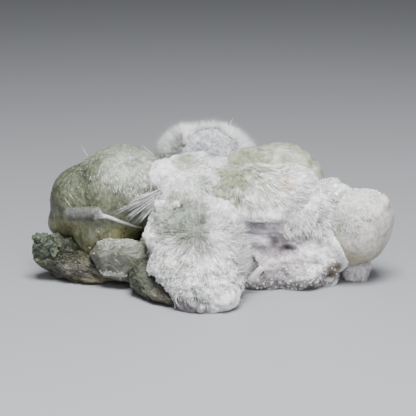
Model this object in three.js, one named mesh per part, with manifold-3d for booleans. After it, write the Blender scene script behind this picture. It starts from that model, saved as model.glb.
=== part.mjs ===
// An okenite puffball specimen: a hand-sized piece of crusted rock that carries pale green globes,
// a fuzzy white okenite ball, a broken okenite ball that shows its rays, and white okenite wool.
// Millimetres, +Z up, +X along the length, -Y towards the show side. It rests on the plane z = 0.
import * as THREE from "three";
import { ConvexGeometry } from "three/addons/geometries/ConvexGeometry.js";
import { mergeVertices } from "three/addons/utils/BufferGeometryUtils.js";
import Module from "manifold-3d";

const wasm = await Module();
wasm.setup();

// Driving dimensions: each growth's main lobe, [x, y, z, radius] or [x, y, z, rx, ry, rz]. Y is 0
// at the green globes' middle.
const LEFT_GLOBE = [-22.6, 0, 22.7, 11.8, 10.8, 10.8];
const RIGHT_GLOBE = [16.9, 4, 22.6, 10.7];
const END_GLOBE = [34.6, -4, 13.6, 8.8];
const PUFFBALL = [0.9, 13.5, 26.4, 10.8];
const BROKEN_BALL = [-4.6, -12, 14, 9.5];
const FAN = [9.6, -5, 22, 7];
const CUSHION = [-7, 0, 22, 8];
const DRIFT = [21.4, -3.2, 6.2, 8.6];
const ROCK = [-29.2, 1, 4.2, 12.8, 9.6, 4.8];

const SPINE = 1.6; // how far the puffball's spines stand out of its body
const FAN_UNDERSIDE = 17.8; // height of the flat break below the fan
const GAP = 0.35; // clearance that a piece keeps to the one that it grew against
const ORIGIN_SHIFT = new THREE.Vector3(0, 3.6, 0); // brings the origin under the middle of the box
const REACH = 60; // longer than the way from any seed to the outside
const WORLD = 400; // wider than the whole specimen

// ---- Small helpers ----------------------------------------------------------------------

const vector = ([x, y, z]) => new THREE.Vector3(x, y, z);

/** A round lobe placed relative to another one. */
const beside = ([x, y, z], [dx, dy, dz], radius) => [x + dx, y + dy, z + dz, radius];

/** A number from 0 to 1 that depends only on a lattice cell and a channel. */
function chance(i, j, k, channel) {
  const wave = Math.sin(i * 127.1 + j * 311.7 + k * 74.7 + channel * 53.9) * 43758.5453;
  return wave - Math.floor(wave);
}

// ---- Relief: how far a point of the surface is raised, in millimetres ----------------------

/** Round knobs, one in each cell of a jittered lattice. */
function knobs(size, height) {
  const offsets = [-1, 0, 1].flatMap((i) => [-1, 0, 1].flatMap((j) => [-1, 0, 1].map((k) => [i, j, k])));
  return (p) => {
    const home = [p.x, p.y, p.z].map((value) => Math.floor(value / size));
    const distances = offsets.map((offset) => {
      const cell = home.map((value, axis) => value + offset[axis]);
      const knob = cell.map((value, axis) => (value + chance(...cell, axis)) * size);
      return Math.hypot(knob[0] - p.x, knob[1] - p.y, knob[2] - p.z);
    });
    return height * Math.sqrt(Math.max(0, 1 - (Math.min(...distances) / size) ** 2));
  };
}

/** Ridges that run out over the surface from a centre, around an axis; they start in a shallow pit. */
function rays(centre, axis, count, height, pitRadius) {
  const origin = vector(centre);
  const normal = vector(axis).normalize();
  const across = new THREE.Vector3(1, 0, 0).projectOnPlane(normal).normalize();
  const along = new THREE.Vector3().crossVectors(normal, across);
  return (p) => {
    const q = p.clone().sub(origin).projectOnPlane(normal);
    const angle = Math.atan2(q.dot(along), q.dot(across));
    const away = 1 - Math.exp(-((q.length() / pitRadius) ** 2));
    return away * height * (1 + Math.abs(Math.sin((count * angle) / 2 + Math.sin(3 * angle))));
  };
}

/** Short spines: each surface point stands out by a chance share of the height. */
const spines = (height) => (p) =>
  height * chance(Math.round(p.x * 9), Math.round(p.y * 9), Math.round(p.z * 9), 3);

// ---- Growths: round lobes that run together, with relief on top ---------------------------

/** Signed distance from a point to a lobe. */
function lobeDistance(p, [x, y, z, rx, ry = rx, rz = rx]) {
  const q = [p.x - x, p.y - y, p.z - z];
  const scaled = Math.hypot(q[0] / rx, q[1] / ry, q[2] / rz);
  const slope = Math.hypot(q[0] / rx ** 2, q[1] / ry ** 2, q[2] / rz ** 2);
  return slope > 0 ? (scaled * (scaled - 1)) / slope : -Math.min(rx, ry, rz);
}

/** The lobes' distances joined with a rounded valley of about the blend's width. */
function blendedDistance(p, lobes, blend) {
  const sum = lobes.reduce((total, lobe) => total + Math.exp(-lobeDistance(p, lobe) / blend), 0);
  return -blend * Math.log(sum);
}

/** A geometry with nothing but its corners and triangles, where shared corners are one. */
function bare(geometry) {
  const copy = geometry.clone();
  copy.deleteAttribute("normal");
  copy.deleteAttribute("uv");
  return mergeVertices(copy, 1e-4);
}

/** A closed solid from a three.js geometry. */
function solidOf(geometry) {
  const { attributes, index } = bare(geometry);
  return new wasm.Manifold(new wasm.Mesh({
    numProp: 3,
    vertProperties: new Float32Array(attributes.position.array),
    triVerts: new Uint32Array(index.array),
  }));
}

/** How far out from a seed the blended lobes reach in one direction, found from the outside in. */
function surfaceReach(seed, direction, lobes, blend) {
  const point = new THREE.Vector3();
  let reach = REACH;
  for (let step = 0; step < 90; step++) {
    const distance = blendedDistance(point.copy(seed).addScaledVector(direction, reach), lobes, blend);
    if (distance < 0.01) break;
    reach -= distance * 0.7;
  }
  return Math.max(reach, 1);
}

/**
 * One growth: a ball of directions from its seed, each drawn out to the blended lobes and then
 * raised by the relief and by grow. A stretch spreads the points of a long or flat growth evenly.
 */
function growth({ seed, lobes, blend = 1, relief, detail, stretch = [1, 1, 1] }, grow) {
  const geometry = bare(new THREE.IcosahedronGeometry(1, detail));
  const corners = geometry.attributes.position;
  const start = vector(seed);
  for (let i = 0; i < corners.count; i++) {
    const direction = new THREE.Vector3().fromBufferAttribute(corners, i)
      .multiply(vector(stretch)).normalize();
    const reach = surfaceReach(start, direction, lobes, blend);
    const surface = start.clone().addScaledVector(direction, reach);
    const point = surface.clone().addScaledVector(direction, relief(surface) + grow);
    corners.setXYZ(i, point.x, point.y, point.z);
  }
  return solidOf(geometry);
}

/** Several solids joined in one. */
const joined = (solids) => solids.reduce((whole, solid) => whole.add(solid));

/** A three.js geometry turned so that its +Y runs along a direction, then moved to a place. */
function aimed(geometry, place, direction) {
  const turn = new THREE.Quaternion().setFromUnitVectors(
    new THREE.Vector3(0, 1, 0), vector(direction).normalize());
  return geometry.applyQuaternion(turn).translate(...place);
}

/** Thin spindles that leave one point, [direction, length, thickness] each. */
const spindles = (root, list, grow) => joined(list.map(([direction, length, thickness]) =>
  solidOf(aimed(
    new THREE.CylinderGeometry(thickness * 0.3 + grow, thickness / 2 + grow, length + grow, 5)
      .translate(0, length / 2, 0),
    root, direction))));

/** All the space below a height. */
const below = (height) => solidOf(
  new THREE.BoxGeometry(WORLD, WORLD, WORLD).translate(0, 0, height - WORLD / 2));

// ---- The pieces. Each one takes how much it is grown, so that it can also cut its neighbours ----

/** Two green globes run together on a shared foot, with a stem down to the rock's left rim. */
const leftGlobe = (grow) => growth({
  seed: [-26, 2, 19],
  lobes: [
    LEFT_GLOBE,
    beside(LEFT_GLOBE, [-9.7, 1, -2.6], 8.2),
    beside(LEFT_GLOBE, [-4.6, 0, -9.5], 8.2),
    beside(LEFT_GLOBE, [-14.6, 2, -8.5], 4),
    beside(LEFT_GLOBE, [-3.6, 10, -5.7], 10),
  ],
  blend: 0.7,
  relief: knobs(3.2, 0.6),
  detail: 6,
}, grow);

/** The green globe on the right, with a lower lobe towards the middle and one behind. */
const rightGlobe = (grow) => growth({
  seed: [13, 6, 21],
  lobes: [
    RIGHT_GLOBE,
    beside(RIGHT_GLOBE, [-7.8, -1, 1.4], 8.4),
    beside(RIGHT_GLOBE, [-4, 7, -5.6], 9.5),
  ],
  blend: 0.7,
  relief: knobs(3.4, 0.5),
  detail: 5,
}, grow);

/** The globe at the far right end, with two low domes on its top. */
const endGlobe = (grow) => growth({
  seed: [35, -4, 14],
  lobes: [
    END_GLOBE,
    beside(END_GLOBE, [-1.8, 0.6, 4], 5.2),
    beside(END_GLOBE, [3.5, 0, 3.3], 6.2),
  ],
  blend: 0.8,
  relief: knobs(3, 0.4),
  detail: 5,
}, grow);

/** The fuzzy ball: two balls grown into each other, covered in spines. */
const puffball = (grow) => growth({
  seed: [-3, 14, 26],
  lobes: [PUFFBALL, beside(PUFFBALL, [-9, 1, 0.4], 9.4)],
  blend: 0.8,
  relief: spines(SPINE),
  detail: 7,
}, grow);

/** The okenite ball in front, broken open so that its rays show from the middle to a knobby rim. */
const brokenBall = (grow) => growth({
  seed: [-3.8, -15, 12],
  lobes: [
    BROKEN_BALL,
    beside(BROKEN_BALL, [0.8, -6.5, -4.4], 9),
    beside(BROKEN_BALL, [2.2, -12.2, -8], 7),
  ],
  blend: 1,
  relief: (p) => rays([-4.1, -24, 17.8], [0, -0.65, 0.76], 22, 0.7, 4)(p) + knobs(3.4, 0.7)(p),
  detail: 7,
}, grow);

/** A broken fan of rays in front of the right globe, with a flat break below it. */
const fan = (grow) => growth({
  seed: [8.5, -2, 22],
  lobes: [
    FAN,
    beside(FAN, [4.2, -1, -1], 6.4),
    beside(FAN, [-6, 0.5, -1], 6),
    beside(FAN, [9.6, 0, 1.4], 5.4),
  ],
  blend: 0.8,
  relief: rays([7.5, -9, 28], [0, -0.8, 0.6], 26, 0.6, 2),
  detail: 5,
}, grow).subtract(below(FAN_UNDERSIDE - grow));

/** White cushions that fill the middle, with a flat spray of needles over the left globe. */
const cushions = (grow) => growth({
  seed: [-6, 0, 22],
  lobes: [
    CUSHION,
    beside(CUSHION, [-5, -4, 4.2], 4.7),
    beside(CUSHION, [0.9, 1, 6.3], 4.8),
    beside(CUSHION, [4.8, -3.6, 4.4], 4.1),
    beside(CUSHION, [0, -7, 1], 4.8),
    beside(CUSHION, [8.8, 0, 5.4], 4.4),
    beside(CUSHION, [-2, -9, -1.4], 4.2),
  ],
  blend: 0.5,
  relief: knobs(2.2, 0.4),
  detail: 6,
}, grow).add(spindles([-13, -8.4, 23.2], [
  [[-1, -0.3, -0.3], 8.4, 1.5],
  [[-1, -0.3, -0.5], 9.4, 1.7],
  [[-0.9, -0.3, -0.75], 9.8, 1.6],
  [[-0.7, -0.3, -0.95], 8.8, 1.6],
  [[-0.45, -0.25, -1], 8, 1.4],
], grow));

/** The low wool on the right, with a saddle up to the end globe and a fringe of hanging needles. */
const drift = (grow) => growth({
  seed: [20, -1, 10],
  lobes: [
    DRIFT,
    beside(DRIFT, [-9.6, -1.6, 0.6], 7.8),
    beside(DRIFT, [-0.6, 0.6, 10.2], 8),
    beside(DRIFT, [6.2, -1.6, 4.2], 5.4),
    beside(DRIFT, [6.4, -2.4, -3.4], 3.2),
    beside(DRIFT, [7.8, 1.2, 14.4], 3.4),
    beside(DRIFT, [-1.4, 11, 3], 11),
    beside(DRIFT, [-11.4, 2.4, 8], 6.4),
  ],
  blend: 0.7,
  relief: knobs(3.4, 1),
  detail: 6,
  stretch: [1.3, 1, 0.9],
}, grow).add(spindles([26.4, -9.6, 15.6], [
  [[-0.6, -1, -1], 5, 0.9],
  [[-0.2, -0.9, -1], 5.6, 0.9],
  [[0.25, -0.9, -1], 5.4, 0.9],
  [[0.7, -0.9, -0.9], 4.4, 0.9],
  [[-1, -0.9, -0.4], 4.4, 0.9],
], grow));

/** A small tuft under the end globe, on which the specimen's right end stands. */
const foot = (grow) => growth({
  seed: [35.6, -1.5, 2.6],
  lobes: [[35.2, -1.4, 2.6, 2.7, 3.2, 3.2], [37.3, -1.8, 2.4, 1.9, 2.4, 2.8]],
  blend: 0.4,
  relief: knobs(1.6, 0.4),
  detail: 3,
}, grow);

/** The grey-brown rock: a low slab under the left and the front, and high ground at the back. */
const rock = (grow) => joined([
  { seed: [-30, 1, 4], lobes: [ROCK, beside(ROCK, [-8, -1, 2.6], 5)], detail: 4 },
  { seed: [-8, -12, 2.5], lobes: [beside(ROCK, [21.4, -13, -1.8], 11.8).concat(15.4, 4.6)], detail: 3 },
  { seed: [-15, 12, 7], lobes: [beside(ROCK, [14, 11, 2.8], 14).concat(11.4, 11)], detail: 2 },
  { seed: [6, 13, 6], lobes: [beside(ROCK, [35, 12, 1.8], 15).concat(10.6, 11)], detail: 2 },
].map((lump) => growth({
  ...lump, blend: 1.2, relief: knobs(4.2, 1.2), stretch: [1.4, 1.1, 0.7],
}, grow)));

/** A clear grey lump with flat faces, in front of the left globe's foot. */
function shard(grow) {
  const middle = new THREE.Vector3(-22.5, -8, 7);
  const corners = [
    [-30.2, -8, 6.5], [-29, -9.5, 10.6], [-24.5, -10, 12.2], [-17.6, -10.5, 11.8],
    [-15.6, -10, 7.6], [-17.4, -9, 3.4], [-22.5, -10.2, 2.2], [-26.4, -9.6, 3.2],
    [-27.4, -12.8, 8.4], [-21.5, -13.6, 9.6], [-18.4, -13.0, 6.4], [-23.5, -13.2, 4.4],
    [-28, -1, 9.5], [-17, -1, 9], [-18, -1, 3], [-26.5, -1, 3],
  ].map((corner) => {
    const point = vector(corner);
    return point.addScaledVector(point.clone().sub(middle).normalize(), grow);
  });
  return solidOf(new ConvexGeometry(corners));
}

/** A heap of small blocky pale green crystals on the rock's left rim, grown into one crust. */
function mintCrystals(grow) {
  const heap = new THREE.IcosahedronGeometry(1, 1).scale(4.6 + grow, 3.4 + grow, 3.2 + grow)
    .rotateY(0.6).translate(-40.4, -2.4, 7.4);
  const blocks = Array.from({ length: 13 }, (_, i) => {
    const along = chance(i, 1, 2, 3);
    const size = 2.1 + 1.8 * chance(i, 4, 4, 4) + 2 * grow;
    return new THREE.BoxGeometry(size, size * 0.8, size * 0.9)
      .rotateX(chance(i, 1, 5, 1) * Math.PI)
      .rotateY(chance(i, 2, 5, 1) * Math.PI)
      .translate(
        -43.6 + 7.5 * along + 1.2 * chance(i, 7, 1, 1),
        -5.2 + 4.4 * chance(i, 2, 9, 2),
        11.2 - 5.4 * along + 2 * chance(i, 3, 3, 7));
  });
  return joined([heap, ...blocks].map(solidOf));
}

/** A roll of felted grey wool with a long thin tail, lying across the left globe. */
function woolRoll(grow) {
  const profile = [
    [0, -4.6], [1.1, -4.5], [1.6, -3.6], [1.75, 0], [1.65, 3.2], [1.2, 4.3], [0.6, 4.9],
    [0.6, 6.2], [0.5, 8.4], [0.45, 11.5], [0, 14.6],
  ].map(([radius, along]) => new THREE.Vector2(radius && radius + grow, along + Math.sign(along) * grow));
  return solidOf(aimed(new THREE.LatheGeometry(profile, 10), [-31.8, -8.6, 17.9], [0.97, -0.08, -0.16]));
}

/** One white six-sided crystal at the edge of the wool. */
const prism = (grow) => solidOf(aimed(
  new THREE.CylinderGeometry(0.85 + grow, 0.85 + grow, 4.2 + 2 * grow, 6),
  [9.4, -13.6, 5.1], [0.66, -0.3, 0.75]));

// ---- Fitting: each piece is cut back from those before it, and all of them from the floor ------

const PIECES = [
  ["left_globe", leftGlobe, { color: 0xa9ac93, roughness: 0.35 }],
  ["right_globe", rightGlobe, { color: 0xb5b6a4, roughness: 0.4 }],
  ["end_globe", endGlobe, { color: 0xb9b7ab, roughness: 0.4 }],
  ["puffball", puffball, { color: 0xd8d8d6, roughness: 0.95 }],
  ["prism_crystal", prism, { color: 0xe4e4dd, roughness: 0.15 }],
  ["wool_roll", woolRoll, { color: 0x9c9ea0, roughness: 0.95 }],
  ["broken_ball", brokenBall, { color: 0xdadad6, roughness: 0.9 }],
  ["ray_fan", fan, { color: 0xc4c8b6, roughness: 0.85 }],
  ["cushions", cushions, { color: 0xd6d6d0, roughness: 0.9 }],
  ["grey_crystal", shard, { color: 0x9fa29a, roughness: 0.3 }],
  ["mint_crystals", mintCrystals, { color: 0x9bb6a2, roughness: 0.5 }],
  ["foot_tuft", foot, { color: 0xcfcbce, roughness: 0.95 }],
  ["wool_drift", drift, { color: 0xd4d0cf, roughness: 0.95 }],
  ["rock", rock, { color: 0x6e6c5d, roughness: 0.9 }],
];

/** The biggest of a solid's loose parts: crumbs that a cut leaves are dropped. */
function mainPart(solid) {
  return solid.decompose().reduce((best, part) => (part.volume() > best.volume() ? part : best));
}

/** A named mesh from a solid. */
function meshOf(name, solid, finish) {
  const { vertProperties, triVerts } = solid.getMesh();
  const geometry = new THREE.BufferGeometry()
    .setAttribute("position", new THREE.BufferAttribute(vertProperties, 3))
    .setIndex(new THREE.BufferAttribute(triVerts, 1));
  geometry.computeVertexNormals();
  const mesh = new THREE.Mesh(geometry, new THREE.MeshStandardMaterial({ metalness: 0, ...finish }));
  mesh.name = name;
  return mesh;
}

const specimen = new THREE.Group();
specimen.position.copy(ORIGIN_SHIFT);
let taken = below(0); // the space that later pieces keep out of
for (const [name, make, finish] of PIECES) {
  specimen.add(meshOf(name, mainPart(make(0).subtract(taken)), finish));
  taken = taken.add(make(GAP));
}

export default specimen;
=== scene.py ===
"""The looks of an okenite puffball specimen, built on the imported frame.

Each growth is a closed skin worked out with numpy: a grid of directions around a seed, each drawn out
to rounded lobes that run together, with relief on top. Fibres and needles are thin closed strands,
gathered in a few joined meshes. Sizes are in millimetres, in the growths' own frame, and each mesh is
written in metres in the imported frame.
"""

import itertools
import logging
import math
from dataclasses import dataclass, field
from typing import Optional

import bpy
import numpy as np
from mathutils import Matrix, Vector


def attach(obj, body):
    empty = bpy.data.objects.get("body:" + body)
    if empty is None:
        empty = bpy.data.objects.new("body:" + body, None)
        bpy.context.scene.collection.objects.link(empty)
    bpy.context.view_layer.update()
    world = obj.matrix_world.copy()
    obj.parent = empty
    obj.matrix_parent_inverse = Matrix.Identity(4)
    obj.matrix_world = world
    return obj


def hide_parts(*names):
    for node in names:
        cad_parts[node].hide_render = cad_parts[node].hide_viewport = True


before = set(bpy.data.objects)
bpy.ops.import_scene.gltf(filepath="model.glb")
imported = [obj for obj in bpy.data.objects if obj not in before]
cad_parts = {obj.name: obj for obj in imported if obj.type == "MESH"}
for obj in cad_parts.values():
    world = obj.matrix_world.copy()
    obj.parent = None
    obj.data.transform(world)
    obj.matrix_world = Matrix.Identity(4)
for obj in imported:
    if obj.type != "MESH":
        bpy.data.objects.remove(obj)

logging.basicConfig(level=logging.INFO, format="%(name)s: %(message)s")
LOG = logging.getLogger("specimen")

Array = np.ndarray
Triple = tuple[float, float, float]
Pair = tuple[float, float]
Lobe = tuple[float, ...]
Socket = bpy.types.NodeSocket

MM = 0.001
CAD_SHIFT: Triple = (0.0, 3.6, 0.0)  # from the growths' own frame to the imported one
RANDOM_SEED = 11
MARCH_START = 45.0  # further out than any lobe, seen from its seed
MARCH_STEPS = 42
MARCH_STRIDE = 0.8  # share of the free distance that one step takes
FLOOR_GAP = 0.04  # lowest place of a fibre's corner
FILLET = 2.0  # how near growths without a seam start to swell towards each other
FILLET_HEIGHT = 0.55  # how far they swell where they meet, as a share of that
NORMAL_STEP = 0.05  # step over which a lobe field's slope is measured
CREEP_BELOW = 0.4  # how far a creeping fibre may reach below its growth's lowest level
CAVITY_STEPS = (1, 2, 3)  # how many grid points to each side a skin's height is averaged over, for the painted shade and highlight of small hollows and crests
CAVITY_DEPTH = 0.12  # how far off that average a place counts as a hollow or a crest, for that painted shade and highlight
CREVICE_RANGE = (4, 90)  # percentiles of a skin's height between which its painted shade in low places fades
ROOT_DEPTH = 0.08  # how deep in the skin a straight fibre starts
COMB_STRAY = 0.3  # how far combed fibres turn off their own direction
STRAND_TAPER = 0.6  # share of its width that a strand would lose up to its tip
CRUMB_OFFSET = 0.1  # how far a crumb's middle lies off the skin, as a share of its size
BRIGHTEST = 0.95  # largest share of light that a tint sends back
NOISE_RANGE = (0.3, 0.7)  # where nearly all values of the shader's noise lie
THIRDS = np.arange(3) * 2.0 * math.pi / 3.0

# Each growth's main lobe: x, y, z and one radius or three.
LEFT_GLOBE: Lobe = (-22.6, 0.0, 22.7, 11.8, 10.8, 10.8)
RIGHT_GLOBE: Lobe = (16.9, 4.0, 22.6, 10.7)
END_GLOBE: Lobe = (34.6, -4.0, 13.6, 8.8)
PUFFBALL: Lobe = (0.9, 13.5, 26.4, 10.8)
BROKEN_BALL: Lobe = (-4.6, -12.0, 14.0, 9.5)
FAN: Lobe = (9.6, -5.0, 22.0, 7.0)
CUSHION: Lobe = (-7.0, 0.0, 22.0, 8.0)
DRIFT: Lobe = (21.4, -3.2, 6.2, 8.6)
ROCK: Lobe = (-29.2, 1.0, 4.2, 12.8, 9.6, 4.8)

FAN_UNDERSIDE = 17.8
BALL_RAYS: Triple = (-4.1, -22.5, 16.2)  # where the broken ball's rays start
FAN_RAYS: Triple = (7.6, -5.4, 27.4)
SIDE_RAYS: Triple = (17.6, -6.5, 25.0)  # where the rays of the wool beside the fan start
FEATHER_ROOT: Triple = (-13.0, -8.6, 23.8)


# ---- Arrays, colour and masks -------------------------------------------------------------


def unit(vectors: Array) -> Array:
    """Each row at a length of one."""
    return vectors / (np.linalg.norm(vectors, axis=-1, keepdims=True) + 1e-9)


def across(vectors: Array, normals: Array) -> Array:
    """The part of each vector that lies square to its normal."""
    return vectors - normals * np.sum(vectors * normals, axis=-1, keepdims=True)


def linear(colour: Triple) -> Array:
    """Linear light from a display colour of 0 to 255: the usual curve with a straight toe."""
    share = np.asarray(colour, dtype=float) / 255.0
    return np.where(share <= 0.04045, share / 12.92, ((share + 0.055) / 1.055) ** 2.4)


def smooth(value: Array, low: float, high: float) -> Array:
    """A soft step: 0 at low, 1 at high, with no kink at either end."""
    share = np.clip((value - low) / (high - low), 0.0, 1.0)
    return share * share * (3.0 - 2.0 * share)


def painted(base: Array, colour: Triple, mask: Array) -> Array:
    """Base colours with another colour laid over them where the mask is high."""
    share = np.clip(mask, 0.0, 1.0)[..., None]
    return base * (1.0 - share) + linear(colour) * share


# ---- Noise ----------------------------------------------------------------------------------


CELL_TURNS = np.array([127.1, 311.7, 74.7])  # how fast the sine turns along each axis of the lattice
CHANNEL_TURN = 53.9  # and from one channel to the next
WAVE_HEIGHT = 43758.5453  # so high that the fraction left of it looks random


def chance(cells: Array, channel: float) -> Array:
    """A number from 0 to 1 for each lattice cell: the fraction left of a large sine of its place."""
    wave = np.sin(cells @ CELL_TURNS + channel * CHANNEL_TURN) * WAVE_HEIGHT
    return wave - np.floor(wave)


def value_noise(points: Array, size: float, channel: float = 5.0) -> Array:
    """Noise from -1 to 1: chance numbers at the lattice corners, blended with a smooth weight.

    Args:
        points: Places, one in each row.
        size: Edge of a lattice cell.
        channel: Picks one of many independent patterns.

    Returns:
        A number for each place.
    """
    scaled = points / size
    home = np.floor(scaled)
    part = scaled - home
    part = part * part * (3.0 - 2.0 * part)
    total = np.zeros(len(points))
    for corner in itertools.product((0.0, 1.0), repeat=3):
        step = np.array(corner)
        weight = np.prod(np.where(step > 0, part, 1.0 - part), axis=1)
        total += weight * chance(home + step, channel)
    return 2.0 * total - 1.0


def fractal_noise(points: Array, size: float, octaves: int, channel: float = 5.0) -> Array:
    """Layers of value noise, each at half the size and half the height of the one before."""
    layers = (value_noise(points, size / 2**i, channel + i) / 2**i for i in range(octaves))
    return sum(layers) / (2.0 - 0.5 ** (octaves - 1))


def swirl(points: Array, size: float, channel: float) -> Array:
    """A slowly turning direction at each place: three channels of value noise."""
    return np.stack([value_noise(points, size, channel + axis) for axis in range(3)], axis=1)


def cell_distance(points: Array, size: float) -> tuple[Array, Array]:
    """Distances to the nearest and second nearest knob centre, one in each jittered lattice cell.

    Args:
        points: Places, one in each row.
        size: Edge of a lattice cell.

    Returns:
        The two distances as shares of the cell size.
    """
    home = np.floor(points / size)
    first = np.full(len(points), np.inf)
    second = np.full(len(points), np.inf)
    for offset in itertools.product((-1.0, 0.0, 1.0), repeat=3):
        cell = home + np.array(offset)
        jitter = np.stack([chance(cell, axis) for axis in range(3)], axis=1)
        distance = np.linalg.norm((cell + jitter) * size - points, axis=1) / size
        second = np.minimum(second, np.maximum(first, distance))
        first = np.minimum(first, distance)
    return first, second


def knobs(points: Array, size: float, height: float) -> Array:
    """Round knobs: the height of a unit ball over each point's nearest knob centre."""
    first, _ = cell_distance(points, size)
    return height * np.sqrt(np.maximum(0.0, 1.0 - first**2))


def facets(points: Array, size: float, height: float) -> Array:
    """Broken facets: each jittered lattice cell is a small plane with a tilt of its own.

    Args:
        points: Places, one in each row.
        size: Edge of a lattice cell.
        height: How far a facet's edges rise and fall.

    Returns:
        The height of each place.
    """
    home = np.floor(points / size)
    nearest = np.full(len(points), np.inf)
    level = np.zeros(len(points))
    for offset in itertools.product((-1.0, 0.0, 1.0), repeat=3):
        cell = home + np.array(offset)
        jitter = np.stack([chance(cell, axis) for axis in range(3)], axis=1)
        gap = points / size - cell - jitter
        tilt = np.stack([2.0 * chance(cell, 20.0 + axis) - 1.0 for axis in range(3)], axis=1)
        distance = np.linalg.norm(gap, axis=1)
        level = np.where(distance < nearest, np.sum(gap * tilt, axis=1), level)
        nearest = np.minimum(nearest, distance)
    return height * level


def rays(points: Array, source: Triple, fineness: float, channel: float = 9.0) -> Array:
    """Ridges that run away from a source: noise of the direction from it, hardly of the distance."""
    offset = points - np.array(source)
    distance = np.linalg.norm(offset, axis=1, keepdims=True) + 1e-6
    return value_noise(offset / distance * fineness + distance * 0.12, 1.0, channel)


def bundles(points: Array, source: Triple, abreast: float, along: float) -> Array:
    """Long knobs that run away from a source: knobs among the directions, drawn out with the distance.

    Args:
        points: Places, one in each row.
        source: Where the bundles start.
        abreast: How many knobs lie side by side in one radian, near the source.
        along: Length of a knob in millimetres.

    Returns:
        A height from 0 to 1 for each place.
    """
    offset = points - np.array(source)
    distance = np.linalg.norm(offset, axis=1, keepdims=True) + 1e-6
    return knobs(offset / distance * (abreast + distance / along), 1.0, 1.0)


@dataclass(frozen=True)
class Coat:
    """A colour laid over a soft round area, with an edge that noise makes ragged."""

    colour: Triple
    centre: Triple
    radii: Triple
    strength: float = 1.0
    ragged: float = 0.3
    size: float = 2.0

    def mask(self, points: Array) -> Array:
        """Full inside the area, fading from six tenths of its size to a third beyond it."""
        distance = np.linalg.norm((points - np.array(self.centre)) / np.array(self.radii), axis=1)
        distance = distance + self.ragged * fractal_noise(points, self.size, 3, 40.0)
        return self.strength * (1.0 - smooth(distance, 0.6, 1.35))


def spot(centre: Triple, radii: Triple, *edge: float) -> Coat:
    """Where something grows: a coat whose colour isn't used.

    Args:
        centre: Its middle.
        radii: Its three radii.
        *edge: The coat's strength, raggedness and size of noise, as far as they differ.

    Returns:
        The soft round area.
    """
    return Coat((0.0, 0.0, 0.0), centre, radii, *edge)


@dataclass(frozen=True)
class Swell:
    """A soft round area of the skin that is raised, or sunk where its height is negative."""

    height: float
    centre: Triple
    radii: Triple

    def rise(self, points: Array) -> Array:
        """The height times a bell of the distance from the middle."""
        distance = np.linalg.norm((points - np.array(self.centre)) / np.array(self.radii), axis=1)
        return self.height * (1.0 - smooth(distance, 0.35, 1.2))


# ---- Skins -----------------------------------------------------------------------------------


def beside(lobe: Lobe, offset: Triple, radius: float) -> Lobe:
    """A round lobe placed relative to another one."""
    return (lobe[0] + offset[0], lobe[1] + offset[1], lobe[2] + offset[2], radius)


@dataclass(frozen=True)
class LobeField:
    """Rounded lobes that run together: a smooth signed distance to all of them."""

    lobes: tuple[Lobe, ...]
    blend: float

    def distance(self, points: Array) -> Array:
        """The distance to each ellipsoid, k0 (k0 - 1) / k1, joined by a soft minimum.

        Args:
            points: Places, one in each row.

        Returns:
            The signed distance of each place, negative inside.
        """
        rows = np.array([lobe if len(lobe) == 6 else (*lobe, lobe[3], lobe[3]) for lobe in self.lobes])
        offset = points[:, None, :] - rows[None, :, :3]
        scaled = np.linalg.norm(offset / rows[None, :, 3:], axis=2)
        slope = np.linalg.norm(offset / rows[None, :, 3:] ** 2, axis=2)
        each = scaled * (scaled - 1.0) / np.maximum(slope, 1e-9)
        nearest = each.min(axis=1)
        return nearest - self.blend * np.log(np.exp((nearest[:, None] - each) / self.blend).sum(axis=1))

    def normal(self, points: Array) -> Array:
        """The outward direction: how the distance grows with a small step along each axis."""
        here = self.distance(points)
        steps = [self.distance(points + np.eye(3)[axis] * NORMAL_STEP) - here for axis in range(3)]
        return unit(np.stack(steps, axis=1))

    def reach(self, seed: Array, directions: Array) -> Array:
        """How far the lobes reach from a seed, marched from outside in by the free distance."""
        reach = np.full(len(directions), MARCH_START)
        for _ in range(MARCH_STEPS):
            gap = self.distance(seed + directions * reach[:, None])
            reach = np.maximum(reach - MARCH_STRIDE * gap, 1.0)
        return reach


def direction_grid(rows: int, columns: int, stretch: Triple) -> Array:
    """Unit directions by latitude and longitude, with a pole at each end: (rows + 1, columns, 3)."""
    polar = np.linspace(0.0, math.pi, rows + 1)[:, None]
    turn = np.linspace(0.0, 2.0 * math.pi, columns, endpoint=False)[None, :]
    ball = np.stack(
        [np.sin(polar) * np.cos(turn), np.sin(polar) * np.sin(turn), np.cos(polar) + 0.0 * turn], axis=2
    )
    return unit(ball * np.array(stretch))


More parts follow.
